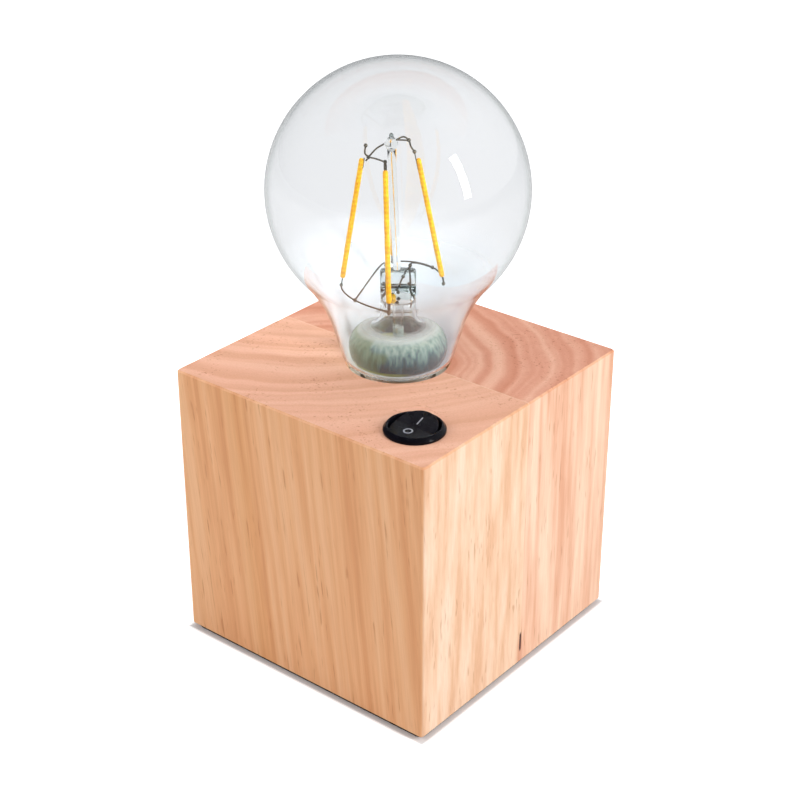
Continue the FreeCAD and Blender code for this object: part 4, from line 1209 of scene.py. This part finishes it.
# %% Screws in place
upside_down = Matrix.Rotation(math.pi, 4, "X")
cover_screws = [moved(screw(2.7, 1.4, 1.4, 10.6), Matrix.Translation((x, y, 1.2)) @ upside_down)
                for x in (-48.0, 48.0) for y in (-33.0, 33.0)]
piece("cover_screws_cut", joined(*cover_screws), "steel_screws", "base", ["cover_screws"])
fixing_screws = [moved(screw(2.8, 1.8, 1.6, 36.0), Matrix.Translation((0.0, y, 79.7)))
                 for y in (-6.2, 6.2)]
piece("fixing_screws_cut", joined(*fixing_screws), "steel_screws", "base", ["holder_fixing_screws"])

# %% [markdown]
# ## The foot pad
# The foot is a sheet of soft foam, cut with a knife and a little rounded by the block's weight, so
# it gets soft edges and a mottled, cellular finish. Cloth simulation is made for thick cushions;
# a sheet of 1.2 mm that is pressed flat has no folds to find, so its edge is drawn.

# %% Foot pad
def soft_square(half, height, corner=3.0, steps=8):
    """Ring round a square with rounded corners."""
    ring = []
    for k in range(4):
        a = math.pi / 2 * k
        c, s = round(math.cos(a)), round(math.sin(a))
        x, y = (half - corner) * (c - s), (half - corner) * (s + c)
        ring += [(x + corner * math.cos(a + math.pi / 2 * n / steps),
                  y + corner * math.sin(a + math.pi / 2 * n / steps), height)
                 for n in range(steps + 1)]
    return ring


sheet = loft([soft_square(half, height) for half, height in
              ((55.75, 0.0), (56.0, 0.1), (56.1, 0.35), (56.1, 0.9), (56.0, 1.12), (55.8, 1.2))])
foot = piece("foot_pad", sheet, "pad_foam", "base", ["base_pad"], sharp=60.0)

# %% [markdown]
# ## The cap's leads
# Two leads of bare wire are bent by hand inside the cap: one runs down to the tip, the other is
# soldered to the inside of the shell. They are hardly seen, but a bulb without them can't light,
# and the wire helper makes each from four bends.

# %% Cap leads
tip_bends = [(0, 0, 101.9), (0.5, 0.2, 98.5), (-0.4, 0.0, 94.0), (0, 0, 90.2)]
side_bends = [(10.3, 0, 101.9), (11.0, 0, 99.6), (11.5, 0, 96.6), (11.5, 0, 92.5)]
leads = joined(wire(smooth_path(tip_bends), 0.4), wire(smooth_path(side_bends), 0.35))
piece("cap_leads_bent", leads, "support_wire", "bulb", ["cap_leads"])

# %% [markdown]
# ## Finishes for the frame's own nodes
# The nodes whose shape is right as it is keep it, and only get a finish. The record says which
# finish each node has, so a loop over it can't miss one. Sharp edges are marked by angle again.

# %% Finish the carried-over nodes
special = {"front_stave": front_wood, "rear_stave": rear_wood}
for part in frame["record"]["subparts"]:
    mesh = nodes[part["node"]].data
    mesh.materials.clear()
    mesh.materials.append(special.get(part["node"]) or finishes[part["material_slot"]])
    mesh.polygons.foreach_set("use_smooth", [True] * len(mesh.polygons))
    mesh.set_sharp_from_angle(angle=math.radians(32))

# %% [markdown]
# ## The floor
# A studio table for cut-out pictures is a white sheet that fades into the backdrop. Making it pure
# white with light would burn out the lamp, so the sheet stays pale grey paper, and a little
# emission that only camera rays see lifts it to white. The emission fades out in a band about two
# millimetres wide round the block, which paints a thin dark shadow line there, over the real
# shadow of the block. Rays through the glass see plain white.

# %% Floor
floor_mesh = bpy.data.meshes.new("floor")
floor_mesh.from_pydata([(-4, -4, 0), (4, -4, 0), (4, 4, 0), (-4, 4, 0)], [], [(0, 1, 2, 3)])
floor = bpy.data.objects.new("floor", floor_mesh)
bpy.context.scene.collection.objects.link(floor)
material, tree, shader, spot = start_material("floor_paper")
tree.links.new(ramp(tree, noise(tree, spot, 60.0, 3.0), [(0.4, (0.78,) * 3), (0.6, (0.8,) * 3)]),
               shader.inputs["Base Color"])
shader.inputs["Roughness"].default_value = 0.9
shader.inputs["Specular IOR Level"].default_value = 0.0
rays = put(tree, "ShaderNodeLightPath").outputs
place = axes(tree, spot)
out_from_centre = maths(tree, "MAXIMUM", maths(tree, "ABSOLUTE", place["X"]),
                        maths(tree, "ABSOLUTE", place["Y"]))
# Painted shadow: no emission near the block, so a thin dark band stays round its foot.
beyond_painted_shadow = stretch(tree, out_from_centre, 57.6 * MM, 59.4 * MM)
glow = put(tree, "ShaderNodeEmission",
           {"Color": (1, 1, 1, 1), "Strength": times(tree, rays["Is Camera Ray"], beyond_painted_shadow, 0.7)})
both = put(tree, "ShaderNodeAddShader", {0: shader.outputs[0], 1: glow.outputs[0]})
white = put(tree, "ShaderNodeEmission", {"Color": (1, 1, 1, 1), "Strength": 0.97})
seen = put(tree, "ShaderNodeMixShader",
           {0: rays["Is Transmission Ray"], 1: both.outputs[0], 2: white.outputs[0]})
tree.links.new(seen.outputs[0], tree.nodes["Material Output"].inputs["Surface"])
floor_mesh.materials.append(material)
print("floor:", floor.name, [round(d, 1) for d in floor.dimensions], "m")

# %% [markdown]
# ## The room
# The camera, and the rays that have passed through glass, see a white room. Gloss sees a room that
# is dim on the left and bright on the right, because a white room mirrored all round would turn the
# black switch grey. Everything else gets an even, soft grey light. All of that is one Background
# whose colour depends on the kind of ray, which costs no lamp and no extra light on the wood.

# %% World
TO_THE_RIGHT = (0.776, 0.63, 0.0)
world = bpy.data.worlds.new("studio")
bpy.context.scene.world = world
world.use_nodes = True
tree = world.node_tree
backdrop = tree.nodes["Background"]
rays = put(tree, "ShaderNodeLightPath").outputs
toward = put(tree, "ShaderNodeTexCoord").outputs["Generated"]
side = put(tree, "ShaderNodeVectorMath", {0: toward, 1: TO_THE_RIGHT},
           operation="DOT_PRODUCT").outputs["Value"]
mirrored = blend(tree, stretch(tree, side, -0.1, 0.95), (0.10, 0.10, 0.12), (0.9, 0.9, 0.92))
colour = blend(tree, rays["Is Glossy Ray"], (0.42, 0.43, 0.45), mirrored)
through = maths(tree, "MAXIMUM", rays["Is Camera Ray"], rays["Is Transmission Ray"])
tree.links.new(blend(tree, through, colour, (1.0, 1.0, 1.0)), backdrop.inputs["Color"])
backdrop.inputs["Strength"].default_value = 1.0
print("world:", world.name)

# %% [markdown]
# ## The lamps
# A tall strip light on the right makes the right face the brightest, and its long reflection is
# what tells us that the globe is glass. A weaker soft box lights the left face and one overhead
# fills the top. Those two are hidden from gloss, because three reflections in one globe look busy.

# %% Lamps
def softbox(name, place, size, watts, mirrored=False):
    """Rectangular area light that looks at the middle of the lamp."""
    light = bpy.data.lights.new(name, "AREA")
    light.shape, light.size, light.size_y, light.energy = "RECTANGLE", *size, watts
    lamp = bpy.data.objects.new(name, light)
    bpy.context.scene.collection.objects.link(lamp)
    lamp.location = place
    lamp.rotation_mode = "QUATERNION"
    lamp.rotation_quaternion = (Vector((0.0, 0.0, 0.08)) - Vector(place)).to_track_quat("-Z", "Y")
    lamp.visible_glossy, lamp.visible_transmission = mirrored, False
    print(name, watts, "W")


softbox("light_right", (0.95, 0.15, 0.55), (0.12, 0.6), 7.3, mirrored=True)
softbox("light_left", (-0.7, -0.8, 0.6), (0.6, 0.6), 5.6)
softbox("light_top", (-0.1, 0.1, 1.1), (0.6, 0.6), 2.8)
